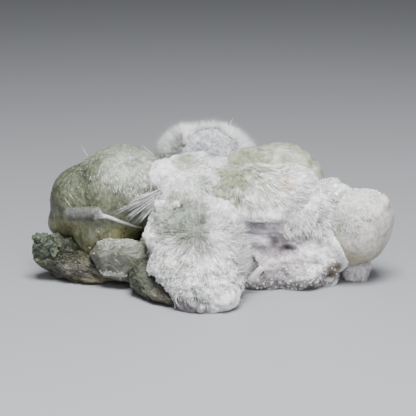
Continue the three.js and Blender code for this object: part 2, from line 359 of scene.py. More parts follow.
@dataclass
class Skin:
    """A closed skin on a latitude and longitude grid of points, (rows + 1, columns, 3)."""

    points: Array

    def corners(self) -> tuple[Array, Array, Array, Array]:
        """The four corner points of every cell, in turn around it."""
        after = np.roll(self.points, -1, axis=1)
        return self.points[:-1], after[:-1], after[1:], self.points[1:]

    def cell_normals(self) -> tuple[Array, Array]:
        """Each cell's outward direction and area, from the cross product of its diagonals."""
        a, b, c, d = self.corners()
        cross = np.cross(d - b, c - a).reshape(-1, 3)
        return unit(cross), np.linalg.norm(cross, axis=1) / 2.0

    def centres(self) -> Array:
        """The middle of every cell."""
        return sum(self.corners()).reshape(-1, 3) / 4.0

    def scattered(self, rng: np.random.Generator, count: int, weight: Array) -> tuple[Array, Array]:
        """Random places on the skin.

        Args:
            rng: Source of random numbers.
            count: How many places.
            weight: How thickly each cell is sown, per unit of area.

        Returns:
            The places, each a random blend of a cell's corners, and the outward directions there.
        """
        normals, areas = self.cell_normals()
        odds = areas * np.maximum(weight, 0.0)
        cells = rng.choice(len(odds), size=count, p=odds / odds.sum())
        a, b, c, d = (corner.reshape(-1, 3)[cells] for corner in self.corners())
        s, t = rng.random((2, count, 1))
        return (a * (1 - s) + b * s) * (1 - t) + (d * (1 - s) + c * s) * t, normals[cells]

    def vertex_rows(self, grid: Array) -> Array:
        """A value for each grid point, in the order of the vertices: the rings, then the two poles."""
        return np.concatenate([grid[1:-1].ravel(), grid[:1, 0], grid[-1:, 0]])

    def faces(self) -> tuple[Array, Array, Array]:
        """Vertices with single poles, the quads between the rings and the triangles at the poles."""
        rows, columns = self.points.shape[0] - 1, self.points.shape[1]
        ring = self.points[1:-1].reshape(-1, 3)
        vertices = np.concatenate([ring, self.points[:1, 0], self.points[-1:, 0]])
        index = np.arange((rows - 1) * columns).reshape(rows - 1, columns)
        after = np.roll(index, -1, axis=1)
        quads = np.stack([index[:-1], index[1:], after[1:], after[:-1]], axis=2).reshape(-1, 4)
        top, bottom = len(ring), len(ring) + 1
        cap = np.stack([np.full(columns, top), index[0], after[0]], axis=1)
        foot = np.stack([np.full(columns, bottom), after[-1], index[-1]], axis=1)
        return vertices, quads, np.concatenate([cap, foot])


# ---- Meshes -----------------------------------------------------------------------------------


@dataclass
class MeshParts:
    """Arrays that gather several closed shapes in one mesh."""

    vertices: list[Array] = field(default_factory=list)
    polygons: list[Array] = field(default_factory=list)
    tints: list[Array] = field(default_factory=list)
    total: int = 0

    def add(self, vertices: Array, polygons: list[Array], tints: Array) -> None:
        """Adds a shape.

        Args:
            vertices: Its places.
            polygons: Arrays of vertex numbers, one for each size of polygon.
            tints: A colour for each vertex, or one for all.
        """
        self.vertices.append(vertices)
        self.polygons.extend(group + self.total for group in polygons if len(group))
        self.tints.append(np.broadcast_to(tints, (len(vertices), 3)))
        self.total += len(vertices)

    def build(
        self, name: str, slot: str, material: bpy.types.Material, nodes: tuple[str, ...] = (),
        flat: bool = False,
    ) -> bpy.types.Object:
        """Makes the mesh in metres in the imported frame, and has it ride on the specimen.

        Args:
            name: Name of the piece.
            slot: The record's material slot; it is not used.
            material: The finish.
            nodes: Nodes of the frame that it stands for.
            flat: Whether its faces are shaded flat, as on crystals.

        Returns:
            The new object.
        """
        places = np.concatenate(self.vertices)
        places = (np.column_stack([places[:, :2], np.maximum(places[:, 2], 0.0)]) + np.array(CAD_SHIFT)) * MM
        corners = np.concatenate([group.ravel() for group in self.polygons])
        sizes = np.concatenate([np.full(len(group), group.shape[1]) for group in self.polygons])
        mesh = bpy.data.meshes.new(name)
        mesh.vertices.add(len(places))
        mesh.vertices.foreach_set("co", places.astype(np.float32).ravel())
        mesh.loops.add(len(corners))
        mesh.loops.foreach_set("vertex_index", corners.astype(np.int32))
        mesh.polygons.add(len(sizes))
        mesh.polygons.foreach_set("loop_start", (np.cumsum(sizes) - sizes).astype(np.int32))
        mesh.polygons.foreach_set("use_smooth", np.full(len(sizes), not flat))
        mesh.update(calc_edges=True)
        colours = np.ones((len(places), 4), dtype=np.float32)
        colours[:, :3] = np.clip(np.concatenate(self.tints), 0.0, BRIGHTEST)
        layer = mesh.attributes.new("tint", "FLOAT_COLOR", "POINT")
        layer.data.foreach_set("color", colours.ravel())
        mesh.materials.append(material)
        piece = bpy.data.objects.new(name, mesh)
        bpy.context.scene.collection.objects.link(piece)
        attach(piece, "root")
        if nodes:
            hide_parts(*nodes)
        LOG.info("%s: %d triangles", name, int((sizes - 2).sum()))
        return piece


def strands(
    parts: MeshParts, rng: np.random.Generator, paths: Array, widths: Array, roots: Array, tips: Array
) -> None:
    """Adds thin closed strands: three corners around each point of a path but the last, the tip.

    Args:
        parts: The mesh that they join.
        rng: Source of random numbers, which turns each strand's corners.
        paths: Points along each strand, (strands, points, 3).
        widths: Each strand's width at its root; it narrows along the path and ends in a point.
        roots: Colour at each root.
        tips: Colour at each tip.
    """
    count, points, _ = paths.shape
    axes = unit(paths[:, -1] - paths[:, 0])
    side = unit(np.cross(axes, rng.normal(size=axes.shape)))
    other = np.cross(axes, side)
    around = side[:, None] * np.cos(THIRDS)[None, :, None] + other[:, None] * np.sin(THIRDS)[None, :, None]
    share = np.arange(points) / (points - 1)
    radius = widths[:, None] / 2.0 * (1.0 - STRAND_TAPER * share[None, :-1])
    rings = paths[:, :-1, None] + around[:, None] * radius[..., None, None]
    vertices = np.concatenate([rings.reshape(count, -1, 3), paths[:, -1:]], axis=1)
    each = vertices.shape[1]
    ring_pairs = [
        [3 * j + a, 3 * j + (a + 1) % 3, 3 * j + 3 + (a + 1) % 3, 3 * j + 3 + a]
        for j in range(points - 2) for a in range(3)
    ]
    last = each - 4
    ends = [[last + a, last + (a + 1) % 3, each - 1] for a in range(3)] + [[2, 1, 0]]
    first = np.arange(count)[:, None, None] * each
    quads = (first + np.array(ring_pairs, dtype=int).reshape(1, -1, 4)).reshape(-1, 4)
    triangles = (first + np.array(ends)[None]).reshape(-1, 3)
    along = np.append(np.repeat(share[:-1], 3), 1.0)[None, :, None]
    tints = (roots[:, None] * (1.0 - along) + tips[:, None] * along).reshape(-1, 3)
    places = vertices.reshape(-1, 3)
    places[:, 2] = np.maximum(places[:, 2], FLOOR_GAP)
    parts.add(places, [quads, triangles], tints)


def blocks(parts: MeshParts, rng: np.random.Generator, centres: Array, sizes: Array, tints: Array) -> None:
    """Adds small blocky crystals: unit cubes with a slanted top, scaled and turned by chance.

    Args:
        parts: The mesh that they join.
        rng: Source of random numbers.
        centres: Their middles.
        sizes: Their three edges.
        tints: A colour for each.
    """
    cube = np.array(list(itertools.product((-0.5, 0.5), repeat=3)))
    cube[:, 2] += 0.35 * cube[:, 0] * (cube[:, 2] > 0)
    turns, _ = np.linalg.qr(rng.normal(size=(len(centres), 3, 3)))
    turns *= np.sign(np.linalg.det(turns))[:, None, None]
    placed = np.einsum("nij,nkj->nki", turns, cube[None] * sizes[:, None]) + centres[:, None]
    vertices = placed.reshape(-1, 3)
    sides = np.array([[0, 1, 3, 2], [4, 6, 7, 5], [0, 4, 5, 1], [2, 3, 7, 6], [0, 2, 6, 4], [1, 5, 7, 3]])
    quads = (np.arange(len(centres))[:, None, None] * 8 + sides[None]).reshape(-1, 4)
    parts.add(vertices, [quads], np.repeat(tints, 8, axis=0))


# ---- Finishes -----------------------------------------------------------------------------------


class Graph:
    """A material's node tree, with a short method for each kind of node that it uses."""

    def __init__(self, name: str) -> None:
        """Starts an empty tree with its output node."""
        self.material = bpy.data.materials.new(name)
        self.material.use_nodes = True
        self.nodes = self.material.node_tree.nodes
        self.links = self.material.node_tree.links
        self.nodes.clear()
        self.output = self.nodes.new("ShaderNodeOutputMaterial")

    def place(self) -> Socket:
        """The point's place in metres."""
        return self.nodes.new("ShaderNodeTexCoord").outputs["Object"]

    def tint(self) -> Socket:
        """The colour that the mesh carries."""
        node = self.nodes.new("ShaderNodeAttribute")
        node.attribute_name = "tint"
        return node.outputs["Color"]

    def noise(self, vector: Socket, size: float, detail: float = 3.0, rough: float = 0.55) -> Socket:
        """Cloudy noise from 0 to 1 with features of about a size in the vector's units."""
        node = self.nodes.new("ShaderNodeTexNoise")
        node.inputs["Scale"].default_value = 1.0 / size
        node.inputs["Detail"].default_value = detail
        node.inputs["Roughness"].default_value = rough
        self.links.new(vector, node.inputs["Vector"])
        return node.outputs["Fac"]

    def vector_math(self, operation: str, first: Socket, second: object = None) -> Socket:
        """One vector operation with a constant, a scale, another socket or nothing."""
        node = self.nodes.new("ShaderNodeVectorMath")
        node.operation = operation
        self.links.new(first, node.inputs[0])
        if isinstance(second, Socket):
            self.links.new(second, node.inputs["Scale" if operation == "SCALE" else 1])
        elif isinstance(second, float):
            node.inputs["Scale"].default_value = second
        elif second is not None:
            node.inputs[1].default_value = second
        return node.outputs["Vector"]

    def span(self, value: Socket, low: float, high: float, start: float = 0.0, end: float = 1.0) -> Socket:
        """The value moved from one range to another, held inside it."""
        node = self.nodes.new("ShaderNodeMapRange")
        self.links.new(value, node.inputs["Value"])
        for key, number in zip(("From Min", "From Max", "To Min", "To Max"), (low, high, start, end)):
            node.inputs[key].default_value = number
        return node.outputs["Result"]

    def varied(self, colour: Socket, pattern: Socket, share: float) -> Socket:
        """A colour made darker and lighter by a share, as a pattern of 0 to 1 runs low and high."""
        return self.vector_math("SCALE", colour, self.span(pattern, *NOISE_RANGE, 1.0 - share, 1.0 + share))

    def bump(self, height: Socket, distance: float, normal: Optional[Socket] = None) -> Socket:
        """The surface's direction, tilted by a height in metres."""
        node = self.nodes.new("ShaderNodeBump")
        node.inputs["Distance"].default_value = distance
        self.links.new(height, node.inputs["Height"])
        if normal is not None:
            self.links.new(normal, node.inputs["Normal"])
        return node.outputs["Normal"]

    def rays(self, source: Triple, fineness: float) -> Socket:
        """Noise that runs away from a source in millimetres: noise of the direction from it."""
        start = tuple((np.array(source) + np.array(CAD_SHIFT)) * MM)
        offset = self.vector_math("SUBTRACT", self.place(), start)
        direction = self.vector_math("NORMALIZE", offset)
        slow = self.vector_math("SCALE", offset, 0.06 / MM / fineness)
        return self.noise(self.vector_math("ADD", direction, slow), 1.0 / fineness, 2.0)

    def surface(self, **sockets: object) -> bpy.types.Material:
        """Ends the tree with a Principled shader.

        Args:
            **sockets: Values or sockets by the name of the input, with _ for a space.

        Returns:
            The finished material.
        """
        shader = self.nodes.new("ShaderNodeBsdfPrincipled")
        for name, value in sockets.items():
            socket = shader.inputs[name.replace("_", " ")]
            if isinstance(value, Socket):
                self.links.new(value, socket)
            else:
                socket.default_value = value
        self.links.new(shader.outputs["BSDF"], self.output.inputs["Surface"])
        return self.material


@dataclass(frozen=True)
class WaxyFinish:
    """A globe's waxy, cloudy skin, which light enters a little way."""

    name: str
    roughness: float = 0.34
    glow: float = 0.55
    depth: float = 1.8  # how far light spreads inside, in millimetres
    cloud: float = 0.2
    grain: float = 0.26
    drawn: float = 0.45  # how much longer the grain is upright than level

    def build(self) -> bpy.types.Material:
        """Tint times large clouds and fine upright grain, with a fine bump and uneven gloss."""
        graph = Graph(self.name)
        place = graph.place()
        cloud = graph.noise(place, 3.0 * MM, 5.0, 0.6)
        upright = graph.vector_math("MULTIPLY", place, (1.0, 1.0, self.drawn))
        grain = graph.noise(upright, 0.45 * MM, 4.0, 0.7)
        colour = graph.varied(graph.varied(graph.tint(), cloud, self.cloud), grain, self.grain)
        return graph.surface(
            Base_Color=colour, Normal=graph.bump(grain, 0.35 * MM), IOR=1.55,
            Roughness=graph.span(cloud, *NOISE_RANGE, self.roughness - 0.12, self.roughness + 0.14),
            Subsurface_Weight=self.glow, Subsurface_Radius=(1.0, 0.95, 0.7),
            Subsurface_Scale=self.depth * MM, Coat_Weight=0.2, Coat_Roughness=0.22,
        )


@dataclass(frozen=True)
class SilkyFinish:
    """Packed okenite fibres: rays in colour and bump where the growth has a source, and fine felt."""

    name: str
    source: Optional[Triple] = None
    fineness: float = 26.0
    contrast: float = 0.1
    felt: float = 0.2
    patches: float = 0.12
    glow: float = 0.5

    def build(self) -> bpy.types.Material:
        """Tint times rays, felt and soft patches, with rays and felt as bump, and a soft sheen."""
        graph = Graph(self.name)
        place = graph.place()
        felt = graph.noise(place, 0.4 * MM, 4.0, 0.7)
        patch = graph.noise(place, 1.3 * MM, 4.0, 0.6)
        colour = graph.varied(graph.varied(graph.tint(), felt, self.felt), patch, self.patches)
        normal = graph.bump(felt, 0.35 * MM)
        if self.source is not None:
            streak = graph.rays(self.source, self.fineness)
            colour = graph.varied(colour, streak, self.contrast)
            normal = graph.bump(streak, 0.15 * MM, normal)
        return graph.surface(
            Base_Color=colour, Roughness=0.7, Normal=normal, Subsurface_Weight=self.glow,
            Subsurface_Radius=(1.0, 1.0, 0.95), Subsurface_Scale=0.9 * MM, Sheen_Weight=0.2,
            Sheen_Roughness=0.5,
        )


@dataclass(frozen=True)
class FibreFinish:
    """Single fibres: their own tint with slow patches, silky gloss."""

    name: str
    roughness: float = 0.42
    patches: float = 0.16

    def build(self) -> bpy.types.Material:
        """Tint times soft patches."""
        graph = Graph(self.name)
        patch = graph.noise(graph.place(), 0.9 * MM, 4.0, 0.6)
        return graph.surface(
            Base_Color=graph.varied(graph.tint(), patch, self.patches), Roughness=self.roughness,
            Subsurface_Weight=0.4, Subsurface_Radius=(1.0, 1.0, 0.95), Subsurface_Scale=0.5 * MM,
        )


@dataclass(frozen=True)
class GlassyFinish:
    """A crystal that light passes in part, with cloudy patches inside."""

    name: str
    transmission: float = 0.3
    roughness: float = 0.25
    cloud: float = 0.18
    cloud_size: float = 1.4

    def build(self) -> bpy.types.Material:
        """Tint times clouds, passed by some light, with a fine wavy bump."""
        graph = Graph(self.name)
        place = graph.place()
        cloud = graph.noise(place, self.cloud_size * MM, 5.0, 0.6)
        fine = graph.noise(place, 0.4 * MM, 3.0)
        colour = graph.varied(graph.varied(graph.tint(), cloud, self.cloud), fine, 0.12)
        return graph.surface(
            Base_Color=colour, Normal=graph.bump(fine, 0.12 * MM), IOR=1.53,
            Roughness=graph.span(cloud, 0.35, 0.65, self.roughness, self.roughness + 0.3),
            Transmission_Weight=self.transmission, Subsurface_Weight=0.3,
            Subsurface_Radius=(1.0, 1.0, 0.85), Subsurface_Scale=1.2 * MM,
        )


@dataclass(frozen=True)
class RockFinish:
    """Weathered rock: its tint broken by grains and dark pits."""

    name: str

    def build(self) -> bpy.types.Material:
        """Tint times coarse and fine grains, with a rough bump."""
        graph = Graph(self.name)
        place = graph.place()
        coarse = graph.noise(place, 1.2 * MM, 5.0, 0.65)
        fine = graph.noise(place, 0.4 * MM, 4.0, 0.7)
        colour = graph.varied(graph.varied(graph.tint(), coarse, 0.16), fine, 0.12)
        return graph.surface(
            Base_Color=colour, Roughness=graph.span(coarse, *NOISE_RANGE, 0.3, 0.75),
            Normal=graph.bump(fine, 0.2 * MM, graph.bump(coarse, 0.4 * MM)),
            Subsurface_Weight=0.5, Subsurface_Radius=(1.0, 1.0, 0.75), Subsurface_Scale=1.4 * MM,
        )


# ---- Growths -----------------------------------------------------------------------------------


@dataclass(frozen=True)
class Nap:
    """How a layer of fibres grows on a skin."""

    name: str
    count: int
    length: Pair
    width: Pair
    stand: float = 0.5  # 0 for fibres that lie flat, 1 for fibres that stand straight up
    spread: float = 0.3  # how far single fibres stray
    steps: int = 1  # more than one for fibres that creep over the skin
    root: float = 0.8  # the skin's tint times this at the root; below 1 it is painted shade among the fibres
    tip: float = 1.08  # and this at the tip; above 1 it is a painted highlight
    colour: Optional[Triple] = None  # in place of the skin's own tint
    comb: Optional[Triple] = None  # a direction of its own
    area: Optional[Coat] = None  # where it grows, if not everywhere
    uneven: float = 0.14  # how much the brightness of single fibres differs


@dataclass(frozen=True)
class Crumbs:
    """How small blocky crystals are strewn over a part of a skin."""

    name: str
    count: int
    size: Pair
    colour: Triple
    area: Coat


@dataclass
class Growth:
    """One growth: rounded lobes around a seed, with relief, tints and the node that it stands for."""

    node: str
    slot: str
    seed: Triple
    lobes: tuple[Lobe, ...]
    blend: float
    rows: int
    columns: int
    stretch: Triple = (1.0, 1.0, 1.0)
    lowest: float = 0.0
    raised: float = 0.0  # how far the whole skin stands out of the lobes
    knob_layers: tuple[Pair, ...] = ()  # size and height of each
    grain: Pair = (1.0, 0.15)  # size and height of the finest relief
    swells: tuple[Swell, ...] = ()
    base: Triple = (200.0, 200.0, 198.0)
    coats: tuple[Coat, ...] = ()
    crevice_shade: float = 0.2  # how much darker the lowest places are: painted shade
    cavity_shading: float = 0.25  # how much darker small hollows and how much lighter small crests are: painted shade and painted highlight
    facet_layers: tuple[Pair, ...] = ()  # size and height of each
    warp: float = 0.0  # how far the knobs and facets are pulled out of shape
    naps: tuple[Nap, ...] = ()
    crumbs: tuple[Crumbs, ...] = ()
    neighbours: list["Growth"] = field(default_factory=list)  # growths that it runs into without a seam

    def outline(self) -> LobeField:
        """The growth's lobes as one smooth field."""
        return LobeField(self.lobes, self.blend)

    def relief(self, points: Array) -> Array:
        """How far the lobes' surface is raised: its knobs, its grain and its swells added up."""
        total = self.raised + self.grain[1] * fractal_noise(points, self.grain[0], 3)
        bent = self.bent(points)
        for size, height in self.knob_layers:
            total += knobs(bent, size, height)
        for size, height in self.facet_layers:
            total += facets(bent, size, height)
        for swell in self.swells:
            total += swell.rise(points)
        return total + self.fillet(points)

    def bent(self, points: Array) -> Array:
        """Places moved about by a swirl, so that knobs and facets there lose their even shape."""
        return points + self.warp * swirl(points, 2.2, 120.0)

    def fillet(self, points: Array) -> Array:
        """How far the skin swells towards a growth that it runs into, most where they meet."""
        if not self.neighbours:
            return np.zeros(len(points))
        gap = np.min([np.abs(other.outline().distance(points)) for other in self.neighbours], axis=0)
        return FILLET_HEIGHT * FILLET * np.clip(1.0 - gap / FILLET, 0.0, 1.0) ** 2

    def ground(self, points: Array) -> Array:
        """The colour under the coats."""
        return np.broadcast_to(linear(self.base), points.shape).copy()

    def tint(self, points: Array) -> Array:
        """The ground with every coat laid over it in turn."""
        colours = self.ground(points)
        for coat in self.coats:
            colours = painted(colours, coat.colour, coat.mask(points))
        return colours

    def skin(self) -> Skin:
        """The growth's skin: the lobes' reach in each direction, plus the relief there."""
        directions = direction_grid(self.rows, self.columns, self.stretch)
        flat = directions.reshape(-1, 3)
        seed = np.array(self.seed)
        surface = seed + flat * self.outline().reach(seed, flat)[:, None]
        points = surface + flat * self.relief(surface)[:, None]
        points[:, 2] = np.maximum(points[:, 2], self.lowest)
        return Skin(points.reshape(directions.shape))

    def skin_tints(self, skin: Skin) -> Array:
        """The tint at each vertex, darker where the skin lies low and in small hollows, and lighter on small
        crests: painted shade and painted highlight.
        """
        height = self.outline().distance(skin.points.reshape(-1, 3))
        low, high = np.percentile(height, CREVICE_RANGE)
        # painted shade where the skin lies low
        shade = 1.0 - self.crevice_shade * (1.0 - smooth(height, low, high))
        grid = height.reshape(skin.points.shape[:2])
        local = grid
        for axis, reach in itertools.product((0, 1), CAVITY_STEPS):
            local = (local + np.roll(local, reach, axis) + np.roll(local, -reach, axis)) / 3.0
        # painted shade in small hollows and painted highlight on small crests
        shade = shade * (1.0 + self.cavity_shading * np.tanh((grid - local) / CAVITY_DEPTH)).ravel()
        vertices = skin.faces()[0]
        shades = skin.vertex_rows(shade.reshape(grid.shape))
        return self.tint(vertices) * shades[:, None]

    def dress(self, material: bpy.types.Material) -> Skin:
        """Builds the skin's object in place of its node, and gives the skin for planting."""
        skin = self.skin()
        vertices, quads, triangles = skin.faces()
        parts = MeshParts()
        parts.add(vertices, [quads, triangles], self.skin_tints(skin))
        parts.build(f"{self.node}_skin", self.slot, material, (self.node,))
        return skin

    def density(self, points: Array, nap: Nap) -> Array:
        """How thickly a layer of fibres grows at each place."""
        return np.ones(len(points))

    def run(self, points: Array, nap: Nap) -> Array:
        """Which way the fibres are combed at each place."""
        return swirl(points, 3.0, 60.0) + np.array([0.0, -0.2, -0.5])

    def creep(self, starts: Array, runs: Array, lengths: Array, steps: int, lift: float) -> Array:
        """Paths that creep over the skin: each step runs on, and is then put back over the relief.

        Args:
            starts: Where the paths start.
            runs: Their first directions.
            lengths: Their whole lengths.
            steps: How many steps each takes.
            lift: How far the tips stand off the skin.

        Returns:
            Points along each path, (paths, steps + 1, 3).
        """
        place, heading = starts, unit(runs)
        path = [starts]
        outline = self.outline()
        for step in range(1, steps + 1):
            ahead = place + heading * (lengths / steps)[:, None]
            normal = outline.normal(ahead)
            gap = outline.distance(ahead) - self.relief(ahead) - lift * step / steps
            ahead = ahead - normal * gap[:, None]
            ahead[:, 2] = np.maximum(ahead[:, 2], self.lowest - CREEP_BELOW)
            heading = unit(ahead - place)
            place = ahead
            path.append(place)
        return np.stack(path, axis=1)

    def plant(
        self, rng: np.random.Generator, skin: Skin, specimen: "Specimen", finish: bpy.types.Material
    ) -> None:
        """Grows each layer of fibres, then strews the crumbs, where no other growth covers the skin.

        Args:
            rng: Source of random numbers.
            skin: The growth's own skin.
            specimen: All growths.
            finish: The fibres' finish.
        """
        centres = skin.centres()
        open_cells = specimen.open_at(centres, self)
        for nap in self.naps:
            thickness = self.density(centres, nap) if nap.area is None else nap.area.mask(centres)
            places, normals = skin.scattered(rng, nap.count, thickness * open_cells)
            stray = nap.spread * rng.normal(size=places.shape)
            if nap.comb is None:
                run = self.run(places, nap)
            else:
                run = np.array(nap.comb) + COMB_STRAY * swirl(places, 2.0, 64.0)
            lying = unit(across(unit(run) + stray, normals))
            length = rng.uniform(*nap.length, size=len(places))
            if nap.steps == 1:
                lean = unit(lying * (1.0 - nap.stand) + normals * nap.stand + 0.5 * stray * nap.stand)
                paths = np.stack([places - normals * ROOT_DEPTH, places + lean * length[:, None]], axis=1)
            else:
                lift = nap.stand * float(np.mean(nap.length))
                paths = self.creep(places, lying, length, nap.steps, lift)
            if nap.colour is None:
                tint = self.tint(places)
            else:
                tint = np.broadcast_to(linear(nap.colour), places.shape)
            clump = 1.0 + 0.12 * value_noise(places, 0.6, 66.0)
            tint = tint * (clump * np.clip(rng.normal(1.0, nap.uneven, len(places)), 0.5, 1.4))[:, None]
            parts = MeshParts()
            widths = rng.uniform(*nap.width, size=len(places))
            # darker roots and brighter tips: painted shade among the fibres and painted highlights at their
            # tips
            strands(parts, rng, paths, widths, tint * nap.root, tint * nap.tip)
            parts.build(f"{self.node}_{nap.name}", self.slot, finish)
        for crumb in self.crumbs:
            places, normals = skin.scattered(rng, crumb.count, crumb.area.mask(centres) * open_cells)
            sizes = rng.uniform(*crumb.size, (crumb.count, 1)) * rng.uniform(0.6, 1.3, (crumb.count, 3))
            # random brightness for each crumb: partly its own tone, partly painted glints
            tints = linear(crumb.colour) * rng.uniform(0.75, 1.15, (crumb.count, 1))
            parts = MeshParts()
            blocks(parts, rng, places + normals * CRUMB_OFFSET * sizes[:, :1], sizes, tints)
            parts.build(f"{self.node}_{crumb.name}", self.slot, finish, flat=True)


@dataclass
class Specimen:
    """All growths together, so that nothing is planted where another growth covers it."""

    growths: list[Growth]
    cover: float = 0.3  # how deep inside another growth a place counts as hidden

    def open_at(self, points: Array, own: Growth) -> Array:
        """Whether each place lies outside every other growth and above the floor."""
        free = points[:, 2] > 0.1
        for other in self.growths:
            if other is not own:
                free &= (other.outline().distance(points) > -self.cover) | (points[:, 2] < other.lowest)
        return free


@dataclass
class GreenGlobe(Growth):
    """A globe of waxy green crystals, with fine white needles lying on it in drifts."""

    drift: Optional[Coat] = None  # where the needles lie thickest
    bare: float = 0.15  # how thickly they lie elsewhere

    def density(self, points: Array, nap: Nap) -> Array:
        """Thick in the drift, broken by noise, and thin elsewhere."""
        drifts = smooth(fractal_noise(points, 2.6, 3, 4.0), -0.35, 0.4)
        thick = self.drift.mask(points) if self.drift is not None else 0.0
        return drifts * (self.bare + thick)

    def run(self, points: Array, nap: Nap) -> Array:
        """Mostly downwards, turned slowly to either side."""
        return np.array([0.15, 0.0, -1.0]) + 0.9 * swirl(points, 4.0, 20.0)


@dataclass
class LeftGlobe(GreenGlobe):
    """The double globe on the left, whose flank is drawn in fine upright columns."""

    column_height: float = 0.07

    def columns_of(self, points: Array) -> Array:
        """Ridges that stand upright round the seed: noise of the level direction, hardly of height."""
        offset = points - np.array(self.seed)
        level = unit(offset[:, :2])
        slow = offset[:, 2:] * 0.16 + 0.8 * fractal_noise(points, 5.0, 2, 33.0)[:, None]
        return value_noise(np.concatenate([level * 26.0, slow], axis=1), 1.0, 31.0)

    def relief(self, points: Array) -> Array:
        """The globe's relief, with the columns on the lower left."""
        flank = smooth(-points[:, 0] - 0.5 * points[:, 2], 10.0, 20.0)
        return super().relief(points) + self.column_height * flank * self.columns_of(points)

    def tint(self, points: Array) -> Array:
        """The globe's tints, streaked along the columns on the lower left."""
        flank = smooth(-points[:, 0] - 0.5 * points[:, 2], 8.0, 20.0)
        mottled = 0.1 * fractal_noise(points, 1.6, 4, 34.0)
        streak = 1.0 + 0.07 * (0.3 + 0.7 * flank) * self.columns_of(points) + mottled
        return super().tint(points) * streak[:, None]


@dataclass
class Puffball(Growth):
    """The fuzzy ball: a felted body, a grey broken face and thousands of fibres out to the tips."""

    face_normal: Triple = (-0.25, -0.76, 0.60)
    face_distance: float = 7.2
    face_edge: float = -8.6  # the face ends in a step here, at the seam between the two balls
    ridge_height: float = 0.4

    def face_side(self, points: Array) -> Array:
        """How far each place lies beyond the plane of the broken face."""
        normal = unit(np.array(self.face_normal))
        return (points - np.array(self.lobes[0][:3])) @ normal - self.face_distance

    def face_mask(self, points: Array, sunk: float = 0.0) -> Array:
        """1 where the ball is broken: beyond the plane, which places yet to be sunk pass sooner."""
        ragged = 0.5 * fractal_noise(points, 1.8, 3, 70.0)
        beyond = smooth(self.face_side(points) + sunk + ragged, -2.2, -0.2)
        return beyond * smooth(self.past_seam(points) + 0.5 * ragged, 0.0, 0.9)

    def past_seam(self, points: Array) -> Array:
        """How far each place lies on the right of the slanting seam."""
        return points[:, 0] - self.face_edge - 0.8 * (points[:, 2] - 31.0)

    def ridge(self, points: Array) -> Array:
        """A pale crest across the face, from its upper left down to its right."""
        line = points[:, 2] - 34.0 + 0.36 * (points[:, 0] + 5.3) + 0.25 * value_noise(points, 1.5, 77.0)
        crest = np.exp(-((line / 0.32) ** 2)) * smooth(points[:, 0], -7.0, -5.0)
        return crest * (1 - smooth(points[:, 0], 2.5, 5.0))

    def relief(self, points: Array) -> Array:
        """A body sunk below the fibres' tips, cut back to the plane of the face, with its crest."""
        beyond = np.maximum(self.face_side(points) + self.raised, 0.0)
        cut = beyond * smooth(self.past_seam(points), 0.0, 1.6)
        flat = self.face_mask(points, self.raised)
        rough = 0.1 * fractal_noise(points, 0.7, 3, 72.0) + 0.3 * value_noise(points, 2.4, 73.0)
        return super().relief(points) - cut + flat * (0.9 + rough + self.ridge_height * self.ridge(points))

    def tint(self, points: Array) -> Array:
        """White fuzz, with the grey speckled face, its pale crest and the dark green seam."""
        colours = super().tint(points)
        flat = self.face_mask(points)
        speckle = fractal_noise(points, 0.6, 3, 74.0)
        shade = 1.0 + 0.4 * speckle - 0.3 * fractal_noise(points, 2.5, 3, 75.0)
        grey = linear((192, 193, 200)) * shade[:, None]
        colours = colours * (1 - flat[:, None]) + grey * flat[:, None]
        return painted(colours, (236, 236, 234), flat * self.ridge(points) * 0.9)

    def density(self, points: Array, nap: Nap) -> Array:
        """Fibres everywhere, and few on the broken face."""
        return 1.0 - 0.88 * self.face_mask(points)

    def run(self, points: Array, nap: Nap) -> Array:
        """Slow tufts, each leaning its own way."""
        return swirl(points, 1.8, 30.0)


@dataclass
class RayGrowth(Growth):
    """A growth whose fibres all run away from one source, broken open so that they show."""

    source: Triple = BALL_RAYS
    pit: Pair = (5.0, 0.9)  # width and depth of the dip at the source
    ridges: tuple[Triple, ...] = ((9.0, 3.0, 0.2), (20.0, 2.0, 0.1))  # abreast, along and height
    streak: float = 0.1

    def away(self, points: Array) -> Array:
        """Distance from the rays' source."""
        return np.linalg.norm(points - np.array(self.source), axis=-1)

    def relief(self, points: Array) -> Array:
        """The growth's relief with a dip at the source and ridges along the rays."""
        total = super().relief(points) - self.pit[1] * np.exp(-((self.away(points) / self.pit[0]) ** 2))
        for abreast, along, height in self.ridges:
            total += height * bundles(points, self.source, abreast, along)
        return total

    def tint(self, points: Array) -> Array:
        """The growth's tints, streaked along the rays."""
        streaks = 0.6 * rays(points, self.source, 14.0, 3.0) + 0.4 * rays(points, self.source, 34.0, 4.0)
        return super().tint(points) * (1.0 + self.streak * streaks)[:, None]

    def run(self, points: Array, nap: Nap) -> Array:
        """Away from the source."""
        return unit(points - np.array(self.source))


@dataclass
class BrokenBall(RayGrowth):
    """The ball in front: fine grey green rays in its middle and white knobs all around."""

    rim_start: float = 6.5

    def rim(self, points: Array) -> Array:
        """0 near the source and 1 in the outer zone of knobs, which starts nearer below than above."""
        lower = smooth(-points[:, 2], -19.0, -11.0)
        left = smooth(-points[:, 0], 9.0, 13.0)
        return smooth(self.away(points) + 2.5 * lower + 2.0 * left, self.rim_start, self.rim_start + 3.5)

    def relief(self, points: Array) -> Array:
        """The rays' relief, with small knobs and crumbs in the outer zone."""
        rim = self.rim(points)
        bent = self.bent(points)
        crumbs = knobs(bent, 2.6, 1.3) + 0.7 * bundles(points, self.source, 4.0, 2.2)
        fine = 0.35 * bundles(points, self.source, 10.0, 1.2)
        return super().relief(points) + rim * (crumbs + fine - 1.2)

    def density(self, points: Array, nap: Nap) -> Array:
        """Creeping fibres off the outer zone, standing ones mostly on it."""
        rim = self.rim(points)
        return 1.0 - 0.85 * rim if nap.steps > 1 else 0.25 + 0.75 * rim


